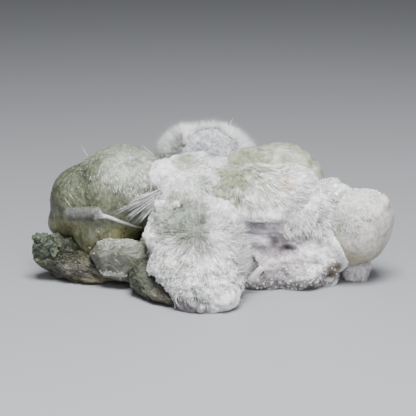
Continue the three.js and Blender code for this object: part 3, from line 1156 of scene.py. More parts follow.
@dataclass
class WoolDrift(Growth):
    """The matted wool on the right, with a grey layered ledge under the fan and hollows in it, with painted
    shade under the fan, in the hollows and along its foot.
    """

    ledge: Coat = spot((12.0, -9.0, 14.0), (5.6, 5.5, 3.8), 1.0, 0.15, 1.5)
    layer_height: float = 0.2

    def relief(self, points: Array) -> Array:
        """The wool's relief, and thin layers across the ledge itself."""
        ledge = self.ledge.mask(points)
        warp = 0.35 * fractal_noise(points, 2.2, 2, 80.0)
        stack = points * np.array([0.12, 0.12, 1.0]) + warp[:, None]
        layers = self.layer_height * value_noise(stack, 0.55, 81.0)
        return super().relief(points) * (1.0 - 0.55 * ledge) + ledge * (layers + 1.5)

    def tint(self, points: Array) -> Array:
        """The wool's tints, with fine lines across the ledge."""
        ledge = self.ledge.mask(points)
        stack = points * np.array([0.1, 0.1, 1.0]) + 0.3 * fractal_noise(points, 2.2, 2, 80.0)[:, None]
        lines = value_noise(stack, 0.4, 82.0)
        return super().tint(points) * (1.0 + 0.45 * ledge * lines)[:, None]

    def density(self, points: Array, nap: Nap) -> Array:
        """Thin on the ledge; creeping fibres only high up, where they run from the side source."""
        off_ledge = 1.0 - 0.9 * self.ledge.mask(points)
        high = smooth(points[:, 2], 13.0, 18.0)
        return off_ledge * (high if nap.steps > 1 else 1.0 - 0.4 * high)

    def run(self, points: Array, nap: Nap) -> Array:
        """Away from the side source high up, and in slow swirls elsewhere."""
        high = smooth(points[:, 2], 11.0, 17.0)[:, None]
        return high * unit(points - np.array(SIDE_RAYS)) + (1.0 - high) * 2.0 * swirl(points, 1.6, 60.0)


@dataclass
class Lump(Growth):
    """One lump of the matrix, broken into facets, with cloudy and clear patches."""

    patches: Triple = (96, 94, 82)

    def ground(self, points: Array) -> Array:
        """The base with patches of paler stone."""
        cloud = smooth(fractal_noise(points, 2.6, 4, 85.0), -0.05, 0.45)
        return painted(super().ground(points), self.patches, cloud)


@dataclass
class Rock:
    """The grey brown matrix: several lumps in one mesh."""

    lumps: tuple[Lump, ...]

    def dress(self, material: bpy.types.Material) -> None:
        """Builds every lump's skin into one object in place of the rock."""
        parts = MeshParts()
        for lump in self.lumps:
            skin = lump.skin()
            vertices, quads, triangles = skin.faces()
            parts.add(vertices, [quads, triangles], lump.skin_tints(skin))
        parts.build("rock_skin", "rock", material, ("rock",))


# ---- Crystals and single pieces -------------------------------------------------------------------


@dataclass
class CloudyCrystal:
    """The grey crystal beside the broken ball: a blunt polyhedron with worn edges and powder on it."""

    corners: tuple[Triple, ...] = (
        (-31.0, -9.0, 8.6), (-28.6, -9.6, 11.6), (-25.0, -10.2, 12.8), (-18.6, -11.0, 12.2),
        (-13.6, -12.0, 9.4), (-15.8, -10.4, 3.6), (-21.6, -11.4, 2.0), (-27.2, -10.6, 3.0),
        (-28.4, -12.8, 8.8), (-22.0, -14.2, 10.4), (-17.4, -14.0, 8.0), (-22.4, -13.8, 4.6),
        (-28.0, -1.0, 9.5), (-15.0, -1.0, 9.0), (-16.0, -1.0, 3.0), (-26.5, -1.0, 3.0),
    )
    rows: int = 110
    columns: int = 220
    rounding: float = 0.1
    powder: Coat = Coat((200, 200, 196), (-24.6, -12.4, 4.3), (3.4, 3.0, 0.6), 0.7, 0.6, 0.8)
    crest: Coat = Coat((150, 153, 142), (-25.0, -10.5, 12.0), (6.0, 3.0, 0.9), 0.6, 0.7, 0.8)
    powder_grains: int = 520

    def planes(self) -> tuple[Array, Array]:
        """The hull's planes: every triple of corners that has all the others on one side of it."""
        corners = np.array(self.corners)
        triples = np.array(list(itertools.combinations(range(len(corners)), 3)))
        a, b, c = (corners[triples[:, k]] for k in range(3))
        normals = unit(np.cross(b - a, c - a))
        sides = corners[None] @ normals[..., None]
        sides = sides[..., 0] - np.sum(a * normals, axis=1)[:, None]
        normals = np.where((sides < 1e-6).all(axis=1)[:, None], normals, -normals)
        keep = (sides < 1e-6).all(axis=1) | (sides > -1e-6).all(axis=1)
        planes = np.column_stack([normals[keep], np.sum(a[keep] * normals[keep], axis=1)])
        planes = np.unique(np.round(planes, 4), axis=0)
        return planes[:, :3], planes[:, 3]

    def build(self, rng: np.random.Generator, finish: bpy.types.Material, dust: bpy.types.Material) -> None:
        """Draws each direction out to the nearest plane, rounds and roughens it, and strews the powder.

        Args:
            rng: Source of random numbers.
            finish: The crystal's finish.
            dust: The powder's finish.
        """
        normals, levels = self.planes()
        seed = np.mean(np.array(self.corners), axis=0)
        directions = direction_grid(self.rows, self.columns, (1.3, 1.0, 0.9))
        flat = directions.reshape(-1, 3)
        facing = flat @ normals.T
        reach = (levels - normals @ seed)[None] / np.where(facing > 1e-6, facing, 1e-6)
        nearest = reach.min(axis=1, keepdims=True)
        reach = nearest[:, 0] - self.rounding * np.log(np.exp((nearest - reach) / self.rounding).sum(axis=1))
        surface = seed + flat * reach[:, None]
        chips = 0.16 * fractal_noise(surface, 1.6, 4, 90.0)
        chips = chips + facets(surface, 2.4, 0.5) + facets(surface, 1.0, 0.1)
        points = surface + flat * (chips + 0.35 * self.powder.mask(surface))[:, None]
        skin = Skin(points.reshape(directions.shape))
        vertices, quads, triangles = skin.faces()
        tints = np.broadcast_to(linear((100, 102, 91)), vertices.shape)
        pale = smooth(fractal_noise(vertices, 2.2, 4, 92.0), -0.1, 0.5)
        tints = painted(tints, (130, 133, 122), pale * 0.8)
        tints = painted(tints, (98, 105, 90), smooth(vertices[:, 0], -20.0, -16.5) * 0.6)
        tints = painted(tints, (92, 90, 66), smooth(fractal_noise(vertices, 1.4, 3, 93.0), 0.25, 0.6) * 0.7)
        for coat in (self.crest, self.powder):
            tints = painted(tints, coat.colour, coat.mask(vertices))
        parts = MeshParts()
        parts.add(vertices, [quads, triangles], tints)
        parts.build("grey_crystal_skin", "grey_crystal", finish, ("grey_crystal",))
        weight = self.powder.mask(skin.centres()) + 0.3 * self.crest.mask(skin.centres()) + 0.002
        places, _ = skin.scattered(rng, self.powder_grains, weight)
        grains = MeshParts()
        sizes = rng.uniform(0.1, 0.4, (len(places), 1)) * rng.uniform(0.6, 1.3, places.shape)
        blocks(grains, rng, places, sizes, linear((188, 189, 180)) * rng.uniform(0.4, 1.1, (len(places), 1)))
        grains.build("grey_crystal_powder", "white_crystal", dust, flat=True)


@dataclass
class MintCrystals:
    """The mint green crystals at the left end: a crust of small blocks over a rounded heap."""

    heap: Lobe = (-40.0, -2.6, 7.6, 4.2, 2.8, 2.0)
    large: int = 60
    small: int = 700

    def build(self, rng: np.random.Generator, finish: bpy.types.Material) -> None:
        """Lays large blocks along the crest, and small ones all over the heap.

        Args:
            rng: Source of random numbers.
            finish: The crystals' finish.
        """
        growth = Growth(
            node="mint_crystals", slot="mint_crystal", seed=self.heap[:3], blend=0.6, rows=90, columns=150,
            lobes=(self.heap, (-42.5, -3.4, 9.9, 1.7), (-39.4, -3.8, 9.6, 1.4), (-36.8, -3.4, 8.6, 1.7)),
            knob_layers=((1.2, 0.6), (0.6, 0.3)), facet_layers=((1.8, 1.0),), warp=0.7, grain=(0.5, 0.2),
            base=(58, 63, 50), crevice_shade=0.5,
            coats=(
                Coat((80, 100, 84), (-42.8, -5.0, 11.4), (2.6, 3.0, 1.6), 0.7, 0.9, 0.8),
                Coat((76, 92, 75), (-39.8, -5.0, 8.6), (2.2, 3.0, 1.6), 0.6, 0.9, 0.8),
                Coat((66, 64, 40), (-37.0, -5.0, 8.2), (2.4, 3.0, 1.8), 0.8, 0.6, 1.0),
            ),
        )
        skin = growth.dress(finish)
        parts = MeshParts()
        for count, low, high in ((self.large, 0.5, 1.1), (self.small, 0.18, 0.5)):
            upper = smooth(skin.centres()[:, 2], 6.5, 10.5) * (skin.centres()[:, 1] < 1.5) + 0.03
            places, outward = skin.scattered(rng, count, upper)
            sizes = rng.uniform(low, high, (count, 1)) * rng.uniform(0.7, 1.2, (count, 3))
            tints = linear((68, 77, 60)) * rng.uniform(0.7, 1.35, (count, 1))
            blocks(parts, rng, places - outward * CRUMB_OFFSET * sizes[:, :1], sizes, tints)
        parts.build("mint_blocks", "mint_crystal", finish, flat=True)


@dataclass
class Spray:
    """A spray of strands from one root: each bends through a middle point to its tip."""

    root: Triple
    guides: tuple[tuple[Triple, Triple], ...]  # middle and tip of each guide, in turn across the spray
    coarse: int
    fine: int
    coarse_width: Pair
    fine_width: Pair
    # dark and light: each strand's colour lies between them, by chance and by its blade; the darker blades
    # are painted shade between the blades
    light: Triple = (226, 227, 228)
    dark: Triple = (150, 152, 152)
    jitter: float = 0.35
    points: int = 6
    blades: int = 14  # the strands lie in this many flat bundles, with gaps between them

    def paths(self, rng: np.random.Generator, blade: Array) -> Array:
        """Strands between the guides: (1-t)^2 root + 2t(1-t) middle + t^2 tip, each cut to its own length.

        Args:
            rng: Source of random numbers.
            blade: The number of each strand's blade.

        Returns:
            Points along each strand.
        """
        guides = np.array(self.guides)
        count = len(blade)
        span = len(guides) - 1.0
        place = ((blade + 0.5) / self.blades + rng.normal(size=count) * 0.16 / self.blades) * span
        place = np.clip(place + 0.25 * np.sin(blade * 2.4), 0.0, span - 1e-6)
        left = place.astype(int)
        part = (place - left)[:, None, None]
        bent = guides[left] * (1.0 - part) + guides[left + 1] * part
        bent = bent + rng.normal(size=bent.shape) * self.jitter * np.array([[[0.5], [1.0]]])
        root = np.array(self.root) + rng.normal(size=(count, 3)) * self.jitter * 0.6
        longest = 0.78 + 0.22 * np.sin(blade * 5.1)
        reach = longest[:, None, None] * rng.uniform(0.6, 1.0, (count, 1, 1))
        t = np.linspace(0.0, 1.0, self.points)[None, :, None] * reach
        return (1 - t) ** 2 * root[:, None] + 2 * t * (1 - t) * bent[:, :1] + t**2 * bent[:, 1:]

    def build(
        self, rng: np.random.Generator, name: str, slot: str, node: str, finish: bpy.types.Material
    ) -> None:
        """Gathers coarse and fine strands in one mesh.

        Args:
            rng: Source of random numbers.
            name: Name of the piece.
            slot: The record's material slot.
            node: The node whose spindles it stands for.
            finish: The strands' finish.
        """
        parts = MeshParts()
        for count, width in ((self.coarse, self.coarse_width), (self.fine, self.fine_width)):
            blade = rng.integers(0, self.blades, count)
            shade = 0.5 * rng.random((count, 1)) + 0.5 * (0.5 + 0.5 * np.sin(blade * 3.7))[:, None]
            tints = linear(self.dark) * (1.0 - shade) + linear(self.light) * shade
            paths = self.paths(rng, blade)
            widths = rng.uniform(*width, size=count)
            # darker roots: painted shade where the strands crowd together
            strands(parts, rng, paths, widths, tints * 0.85, tints)
        parts.build(name, slot, finish, (node,))


@dataclass
class WoolRoll:
    """The grey roll of felted wool on the left globe, with a frayed end and a thin twisted tail."""

    line: tuple[tuple[float, ...], ...] = (  # x, y, z and radius along the middle line
        (-36.3, -9.3, 18.5, 0.0), (-36.2, -9.3, 18.5, 0.9), (-35.8, -9.35, 18.55, 1.4),
        (-34.6, -9.4, 18.6, 1.62), (-32.0, -9.5, 18.7, 1.55), (-29.6, -9.6, 18.85, 1.66),
        (-28.6, -9.7, 18.9, 1.5), (-28.1, -9.9, 18.8, 0.8), (-27.2, -10.1, 18.4, 0.46),
        (-25.6, -10.25, 18.1, 0.4), (-24.2, -10.2, 17.5, 0.38),
        (-22.6, -10.0, 16.9, 0.34), (-21.0, -9.5, 16.2, 0.3), (-19.4, -8.7, 15.4, 0.24),
        (-17.9, -7.4, 14.8, 0.12), (-17.5, -7.0, 14.6, 0.0),
    )
    body_end: float = -28.4
    rows: int = 150
    columns: int = 72
    fibres: int = 5200

    def skin(self) -> Skin:
        """The radius carried along the middle line, roughened by felt, with a ragged shoulder."""
        line = np.array(self.line)
        steps = np.linalg.norm(np.diff(line[:, :3], axis=0), axis=1)
        along = np.concatenate([[0.0], np.cumsum(steps)])
        places = np.linspace(0.0, along[-1], self.rows + 1)
        middle = np.stack([np.interp(places, along, line[:, axis]) for axis in range(4)], axis=1)
        for _ in range(3):
            middle[1:-1, :3] = (middle[:-2, :3] + middle[1:-1, :3] + middle[2:, :3]) / 3.0
        turn = np.linspace(0.0, 2.0 * math.pi, self.columns, endpoint=False)[None, :, None]
        axis = unit(np.gradient(middle[:, :3], axis=0))
        side = unit(np.cross(axis, np.array([0.0, 0.0, 1.0])))[:, None]
        other = np.cross(side, axis[:, None])
        ring = side * np.cos(turn) + other * np.sin(turn)
        radius = middle[:, 3:]
        points = middle[:, None, :3] + ring * radius[..., None]
        flat = points.reshape(-1, 3)
        felt = 0.3 * fractal_noise(flat, 1.0, 4, 95.0)
        felt = felt + 0.12 * value_noise(flat * np.array([0.3, 1, 1]), 0.4, 96.0)
        felt = felt.reshape(len(middle), -1) * np.minimum(radius, 1.0)
        return Skin(points + ring * felt[..., None])

    def tint(self, points: Array) -> Array:
        """Grey on the body with painted shade on its underside, paler at its frayed right end, white along
        the tail.
        """
        cloud = fractal_noise(points, 1.0, 4, 97.0)
        tints = np.broadcast_to(linear((80, 82, 77)), points.shape) * (1.0 + 0.6 * cloud)[:, None]
        # painted shade: darker on the underside of the roll
        tints = painted(tints, (58, 59, 54), smooth(-points[:, 2], -18.8, -17.2) * 0.8)
        tints = painted(tints, (200, 202, 198), smooth(points[:, 0] - self.body_end + 1.2 * cloud, -1.2, 1.0))
        return painted(tints, (150, 151, 140), 0.6 * smooth(points[:, 0], -25.0, -20.0))

    def build(self, rng: np.random.Generator, felt: bpy.types.Material, fibre: bpy.types.Material) -> None:
        """Builds the felted roll and its loose fibres, thickest at the frayed end.

        Args:
            rng: Source of random numbers.
            felt: The roll's finish.
            fibre: The fibres' finish.
        """
        skin = self.skin()
        vertices, quads, triangles = skin.faces()
        parts = MeshParts()
        parts.add(vertices, [quads, triangles], self.tint(vertices))
        parts.build("wool_roll_skin", "grey_wool", felt, ("wool_roll",))
        frayed = np.exp(-((skin.centres()[:, 0] - self.body_end) ** 2))
        places, normals = skin.scattered(rng, self.fibres, 0.6 + 3.0 * frayed)
        frayed = np.exp(-((places[:, :1] - self.body_end) ** 2))
        onward = np.array([1.0, 0.0, 0.0]) * (0.5 + frayed)
        lean = 0.35 * normals + 0.6 * rng.normal(size=places.shape) + onward
        length = rng.uniform(0.2, 0.55, (len(places), 1)) * (1.0 + 0.6 * frayed)
        paths = np.stack([places - normals * 0.05, places + unit(lean) * length], axis=1)
        tints = self.tint(places) * rng.normal(1.05, 0.25, (len(places), 1)).clip(0.4, 1.8)
        loose = MeshParts()
        # darker roots and brighter tips: painted shade among the fibres and painted highlights at their tips
        strands(loose, rng, paths, rng.uniform(0.05, 0.11, len(places)), tints * 0.9, tints * 1.2)
        loose.build("wool_roll_fibres", "grey_wool", fibre)


@dataclass
class PrismCrystal:
    """The small glassy prism in the wool, with six sides and bevelled ends."""

    middle: Triple = (10.1, -16.2, 5.5)
    direction: Triple = (0.66, -0.3, 0.75)
    profile: tuple[Pair, ...] = ((-2.4, 0.0), (-2.4, 0.6), (-2.25, 0.8), (2.1, 0.84), (2.4, 0.6), (2.5, 0.0))
    columns: int = 6
    flatten: float = 0.8

    def build(self, finish: bpy.types.Material) -> None:
        """Carries the six-sided profile along the prism's own direction.

        Args:
            finish: The prism's finish.
        """
        profile = np.array(self.profile)
        turn = (np.arange(self.columns) + 0.5) * 2.0 * math.pi / self.columns
        axis = unit(np.array(self.direction))
        side = unit(np.cross(axis, np.array([0.0, 1.0, 0.0])))
        other = np.cross(side, axis) * self.flatten
        ring = side * np.cos(turn)[:, None] + other * np.sin(turn)[:, None]
        points = np.array(self.middle) + axis * profile[:, :1, None] + ring[None] * profile[:, 1:, None]
        vertices, quads, triangles = Skin(points).faces()
        parts = MeshParts()
        parts.add(vertices, [quads, triangles], linear((248, 249, 240)))
        parts.build("prism_crystal_facets", "white_crystal", finish, ("prism_crystal",), flat=True)


@dataclass
class LooseNeedles:
    """Single long needles and small bright crystals that stand on the growths."""

    needles: tuple[tuple[Triple, Triple], ...] = (
        ((-30.4, -2.0, 30.4), (-33.0, -3.0, 34.9)),
        ((-15.9, -1.2, 32.6), (-17.8, -2.8, 34.6)),
        ((-15.0, -1.4, 32.0), (-17.2, -3.2, 33.9)),
        ((-14.6, -3.0, 31.6), (-16.4, -4.6, 34.0)),
        ((-34.9, -7.6, 19.8), (-36.8, -8.2, 22.8)),
        ((-34.0, -8.0, 21.6), (-35.7, -8.4, 24.0)),
        ((3.6, 10.4, 37.0), (5.0, 9.4, 39.3)),
        ((-15.7, -6.0, 28.4), (-16.3, -6.6, 31.2)),
        ((-15.3, -6.3, 28.0), (-15.6, -6.6, 30.4)),
        ((13.4, -12.6, 0.2), (13.6, -14.2, 1.2)),
        ((18.6, -12.0, 0.3), (17.6, -13.2, 0.9)),
    )
    width: float = 0.14
    amber: tuple[Triple, ...] = (
        (-28.4, -9.4, 14.2), (-28.1, -9.3, 13.7), (-38.7, -6.1, 8.6), (-30.6, -9.3, 10.2)
    )
    amber_size: float = 0.5

    def build(self, rng: np.random.Generator, needle: bpy.types.Material, glass: bpy.types.Material) -> None:
        """Builds the needles in one mesh and the amber crystals in another.

        Args:
            rng: Source of random numbers.
            needle: The needles' finish.
            glass: The crystals' finish.
        """
        paths = np.array(self.needles)
        pale = np.broadcast_to(linear((232, 234, 230)), (len(paths), 3))
        parts = MeshParts()
        strands(parts, rng, paths, np.full(len(paths), self.width), pale, pale)
        parts.build("loose_needles", "white_crystal", needle)
        centres = np.array(self.amber)
        sizes = self.amber_size * rng.uniform(0.7, 1.2, centres.shape)
        crystals = MeshParts()
        blocks(crystals, rng, centres, sizes, np.broadcast_to(linear((132, 127, 68)), centres.shape))
        crystals.build("amber_crystals", "white_crystal", glass, flat=True)


# ---- The specimen's parts -------------------------------------------------------------------------


def green_globes() -> tuple[LeftGlobe, GreenGlobe, GreenGlobe]:
    """The left, right and end globes, with the lobes that the solids have."""
    flecks = Nap("needles", 1900, (0.4, 1.6), (0.05, 0.11), stand=0.04, spread=0.3, colour=(190, 196, 180),
                 uneven=0.35)
    frost = Nap("frost", 700, (0.6, 2.6), (0.1, 0.26), stand=0.05, spread=0.16, colour=(244, 247, 241),
                comb=(0.2, -0.1, -1.0), area=spot((-20.0, -9.0, 28.4), (7.0, 6.0, 4.0), 1.0, 1.0, 1.4),
                uneven=0.25)
    left = LeftGlobe(
        node="left_globe", slot="green_globe", seed=(-26.0, 2.0, 19.0), blend=0.7, rows=180, columns=360,
        lobes=(
            LEFT_GLOBE,
            beside(LEFT_GLOBE, (-9.7, 1.0, -2.6), 8.2),
            beside(LEFT_GLOBE, (-4.6, 0.0, -9.5), 8.2),
            beside(LEFT_GLOBE, (-14.6, 2.0, -8.5), 4.0),
            beside(LEFT_GLOBE, (-3.6, 10.0, -5.7), 10.0),
        ),
        knob_layers=((3.4, 0.5), (0.9, 0.14)), warp=0.6, grain=(0.8, 0.16), base=(112, 117, 96), crevice_shade=0.3,
        coats=(
            Coat((138, 145, 132), (-22.0, 0.0, 34.0), (9.0, 12.0, 4.0), 0.85, 0.7, 1.4),
            # darker on the left: partly the globe's own tone, partly painted shade on the side turned from
            # the light
            Coat((70, 78, 58), (-34.0, -3.0, 26.4), (5.6, 8.0, 4.4), 0.8, 0.7, 1.2),
            Coat((168, 176, 160), (-19.6, -9.0, 28.8), (7.0, 6.0, 4.2), 0.75, 0.8, 1.2),
            Coat((98, 102, 78), (-29.0, -8.0, 21.4), (9.0, 6.0, 3.4), 0.7, 0.5),
            # painted shade in the crease between the upper left lobe and the main lobe
            Coat((84, 92, 74), (-28.4, -6.0, 29.0), (1.2, 5.0, 3.4), 0.7, 0.6, 1.0),
            # dark olive low on the left: partly the globe's own tone, partly painted shade
            Coat((46, 49, 28), (-40.0, -2.0, 17.0), (4.4, 9.0, 7.0), 0.85, 0.4),
            Coat((136, 136, 98), (-35.0, -4.0, 13.0), (7.0, 6.0, 5.0), 0.8, 0.5),
            Coat((128, 125, 84), (-22.0, -6.0, 13.4), (6.0, 7.0, 2.6), 0.8, 0.5),
            Coat((84, 83, 56), (-31.0, -7.0, 11.0), (3.4, 5.0, 2.0), 0.8, 0.5),
            Coat((128, 136, 117), (-24.0, 12.0, 22.0), (12.0, 8.0, 12.0), 0.6, 0.5, 3.0),
        ),
        naps=(flecks, frost), drift=spot((-19.0, -9.0, 27.4), (7.5, 6.0, 5.0), 1.0, 0.5, 1.5),
        bare=0.08,
        # tiny bright crystals that stand in for glints: painted sparkle
        crumbs=(Crumbs("sparkles", 200, (0.05, 0.12), (222, 226, 218),
                       spot((-31.0, -5.0, 27.5), (7.0, 8.0, 5.0), 1.0, 0.5, 1.5)),),
    )
    right = GreenGlobe(
        node="right_globe", slot="green_globe", seed=(13.0, 6.0, 21.0), blend=0.7, rows=130, columns=260,
        lobes=(
            RIGHT_GLOBE,
            beside(RIGHT_GLOBE, (-7.8, -1.0, 1.4), 8.4),
            beside(RIGHT_GLOBE, (-4.0, 7.0, -5.6), 9.5),
        ),
        knob_layers=((3.4, 0.4), (0.9, 0.12)), warp=0.6, grain=(0.8, 0.14), base=(160, 165, 143),
        crevice_shade=0.25,
        coats=(
            Coat((176, 179, 166), (17.0, -2.0, 31.0), (6.0, 5.0, 4.0), 0.8, 0.6, 1.6),
            Coat((122, 130, 102), (9.0, -2.0, 30.0), (5.0, 5.0, 3.5), 0.8, 0.6, 1.6),
            Coat((190, 190, 180), (25.0, -4.0, 26.0), (3.4, 6.0, 4.0), 0.7, 0.6, 1.4),
            Coat((150, 155, 130), (12.0, 14.0, 24.0), (14.0, 8.0, 12.0), 0.6, 0.5, 3.0),
        ),
        naps=(Nap("needles", 2600, (0.3, 1.2), (0.06, 0.14), stand=0.1, spread=0.35, colour=(222, 224, 216),
                  uneven=0.3),),
        drift=spot((9.0, -2.0, 30.0), (5.0, 6.0, 3.5), 1.0, 0.5, 1.5), bare=0.2,
    )
    end = GreenGlobe(
        node="end_globe", slot="cream_globe", seed=(35.0, -4.0, 14.0), blend=0.8, rows=130, columns=260,
        lobes=(
            END_GLOBE,
            beside(END_GLOBE, (-1.8, 0.6, 4.0), 5.2),
            beside(END_GLOBE, (3.5, 0.0, 3.3), 6.2),
        ),
        knob_layers=((3.4, 0.3),), warp=0.6, grain=(0.8, 0.07), base=(190, 186, 180), crevice_shade=0.2,
        swells=(Swell(0.9, (41.2, -5.0, 20.4), (2.0, 3.0, 2.0)),),
        coats=(
            Coat((158, 163, 140), (29.0, -8.0, 16.5), (3.6, 8.0, 6.0), 0.9, 0.5, 1.4),
            Coat((216, 218, 214), (35.0, -8.0, 21.6), (6.0, 6.0, 3.0), 0.8, 0.7, 1.2),
            Coat((186, 180, 175), (42.0, -6.0, 13.0), (4.0, 8.0, 7.0), 0.7, 0.4),
            # darker and browner towards the bottom: partly its own tan tone, partly painted shade
            Coat((148, 139, 116), (33.5, -6.0, 7.0), (8.0, 9.0, 4.4), 0.85, 0.4),
        ),
        naps=(
            Nap("needles", 1800, (0.3, 1.3), (0.06, 0.15), stand=0.06, spread=0.3, colour=(224, 226, 220),
                uneven=0.3),
            Nap("frost", 650, (0.5, 2.0), (0.12, 0.26), stand=0.12, spread=0.16, colour=(244, 245, 241),
                comb=(0.5, 0.0, -1.0), area=spot((32.5, -10.0, 18.5), (5.0, 6.0, 3.4), 1.0, 0.8, 1.2),
                uneven=0.25),
        ),
        drift=spot((32.0, -9.0, 17.5), (5.0, 6.0, 6.0), 1.0, 0.5, 1.5), bare=0.12,
        crumbs=(Crumbs("crumbs", 420, (0.12, 0.4), (226, 228, 224),
                       spot((35.0, -5.0, 22.6), (6.0, 7.0, 1.8), 1.0, 0.5, 1.5)),),
    )
    return left, right, end


def fuzzy_puffball() -> Puffball:
    """The double puffball behind the cushions."""
    return Puffball(
        node="puffball", slot="okenite_fuzz", seed=(-3.0, 14.0, 26.0), blend=0.8, rows=130, columns=230,
        lobes=(PUFFBALL, beside(PUFFBALL, (-9.0, 1.0, 0.4), 9.4)),
        raised=-1.9, knob_layers=((1.4, 0.2),), grain=(1.6, 0.3), base=(196, 197, 197), crevice_shade=0.2,
        cavity_shading=0.1,
        swells=(
            Swell(-2.6, (-17.4, 13.0, 27.0), (4.4, 9.0, 9.0)),
            Swell(-1.6, (-14.0, 13.0, 34.0), (4.4, 9.0, 4.0)),
            Swell(-0.7, (9.4, 12.0, 34.0), (4.0, 9.0, 5.0)),
            Swell(-1.1, (5.2, 12.0, 37.0), (3.8, 9.0, 2.6)),
        ),
        coats=(
            Coat((120, 128, 120), (-12.4, 7.0, 31.0), (4.8, 6.0, 4.8), 0.85, 0.5, 1.4),
            Coat((66, 78, 66), (-8.4, 6.6, 32.8), (1.5, 5.0, 3.2), 0.95, 0.4, 0.8),
        ),
        naps=(
            Nap("felt", 30000, (0.7, 2.0), (0.07, 0.13), stand=0.82, spread=0.25, root=0.84, tip=0.98),
            Nap("fuzz", 24000, (1.5, 3.0), (0.05, 0.09), stand=0.86, spread=0.18, root=0.86, tip=1.02),
            Nap("halo", 4000, (2.6, 3.9), (0.04, 0.07), stand=0.9, spread=0.14, root=0.9,
                colour=(222, 222, 222)),
            Nap("face", 4200, (0.3, 1.2), (0.07, 0.14), stand=0.45, spread=0.5, root=1.0,
                area=spot((-1.5, 5.0, 32.6), (7.0, 5.0, 4.6), 1.0, 0.5, 1.2)),
        ),
    )


def broken_ball() -> BrokenBall:
    """The broken ball in front."""
    return BrokenBall(
        node="broken_ball", slot="okenite_rays", seed=(-3.8, -15.0, 12.0), blend=1.0, rows=220, columns=400,
        lobes=(
            BROKEN_BALL,
            beside(BROKEN_BALL, (0.8, -6.5, -4.4), 9.0),
            beside(BROKEN_BALL, (2.2, -12.2, -8.0), 7.0),
        ),
        raised=0.1, knob_layers=((4.8, 1.5),), warp=1.3, grain=(1.6, 0.4), base=(234, 234, 233),
        crevice_shade=0.35, cavity_shading=0.35, source=BALL_RAYS, ridges=((8.0, 3.4, 0.2), (18.0, 2.2, 0.1)), streak=0.08,
        swells=(
            Swell(-2.4, (-5.0, -14.5, 23.6), (9.5, 6.0, 4.4)),
            Swell(1.7, (-14.0, -19.0, 14.5), (2.6, 6.0, 2.2)),
            Swell(1.4, (-14.2, -20.0, 8.6), (2.4, 6.0, 2.0)),
            Swell(-2.0, (-14.6, -19.0, 11.4), (1.8, 5.0, 1.3)),
            Swell(-3.0, (-13.0, -24.0, 1.5), (4.6, 6.0, 4.8)),
            Swell(-1.4, (-11.0, -18.0, 21.5), (4.0, 6.0, 3.0)),
            Swell(1.2, (3.4, -29.0, 4.0), (3.0, 5.0, 2.6)),
            Swell(-2.4, (6.4, -26.0, 8.4), (2.6, 5.0, 1.8)),
            Swell(-2.2, (6.2, -25.0, 1.0), (3.4, 6.0, 2.2)),
        ),
        coats=(
            Coat((132, 141, 128), (-9.0, -19.0, 19.6), (7.4, 9.0, 5.4), 0.95, 0.6, 1.4),
            Coat((118, 125, 112), (-4.3, -24.0, 16.6), (3.4, 6.0, 2.6), 0.8, 0.6, 1.0),
            # painted shade on the ball's underside, in a lilac grey
            Coat((104, 99, 104), (-7.5, -29.0, 0.8), (7.0, 7.0, 3.2), 0.95, 0.6, 1.0),
            Coat((188, 190, 168), (-8.0, -27.0, 10.6), (4.0, 6.0, 2.4), 0.5, 0.7, 1.2),
            Coat((200, 196, 197), (4.0, -22.0, 15.0), (3.0, 6.0, 5.0), 0.6, 0.5, 1.6),
            Coat((186, 190, 186), (4.4, -25.0, 10.4), (2.4, 4.0, 2.0), 0.6, 0.5, 1.0),
        ),
        naps=(
            Nap("coarse_rays", 900, (1.4, 4.4), (0.16, 0.32), stand=0.03, spread=0.1, steps=4, root=1.0,
                tip=1.12),
            Nap("fine_rays", 3600, (0.8, 2.8), (0.08, 0.17), stand=0.05, spread=0.14, steps=2, root=1.0,
                tip=1.1),
            Nap("nap", 5000, (0.2, 0.6), (0.12, 0.26), stand=0.25, spread=0.5, root=1.0, tip=1.1),
            Nap("edge", 900, (1.2, 3.4), (0.12, 0.26), stand=0.45, spread=0.3, root=1.0, tip=1.1,
                comb=(1.0, 0.3, 0.1), area=spot((5.4, -19.0, 12.0), (2.6, 8.0, 8.0), 1.0, 0.5, 1.2)),
        ),
        # greyish crumbs low on the ball: partly painted shade, to match the shade painted there
        crumbs=(Crumbs("crumbs", 500, (0.2, 0.6), (214, 214, 214),
                       spot((-5.0, -26.0, 8.0), (10.0, 9.0, 5.0), 1.0, 0.4, 1.5)),),
    )


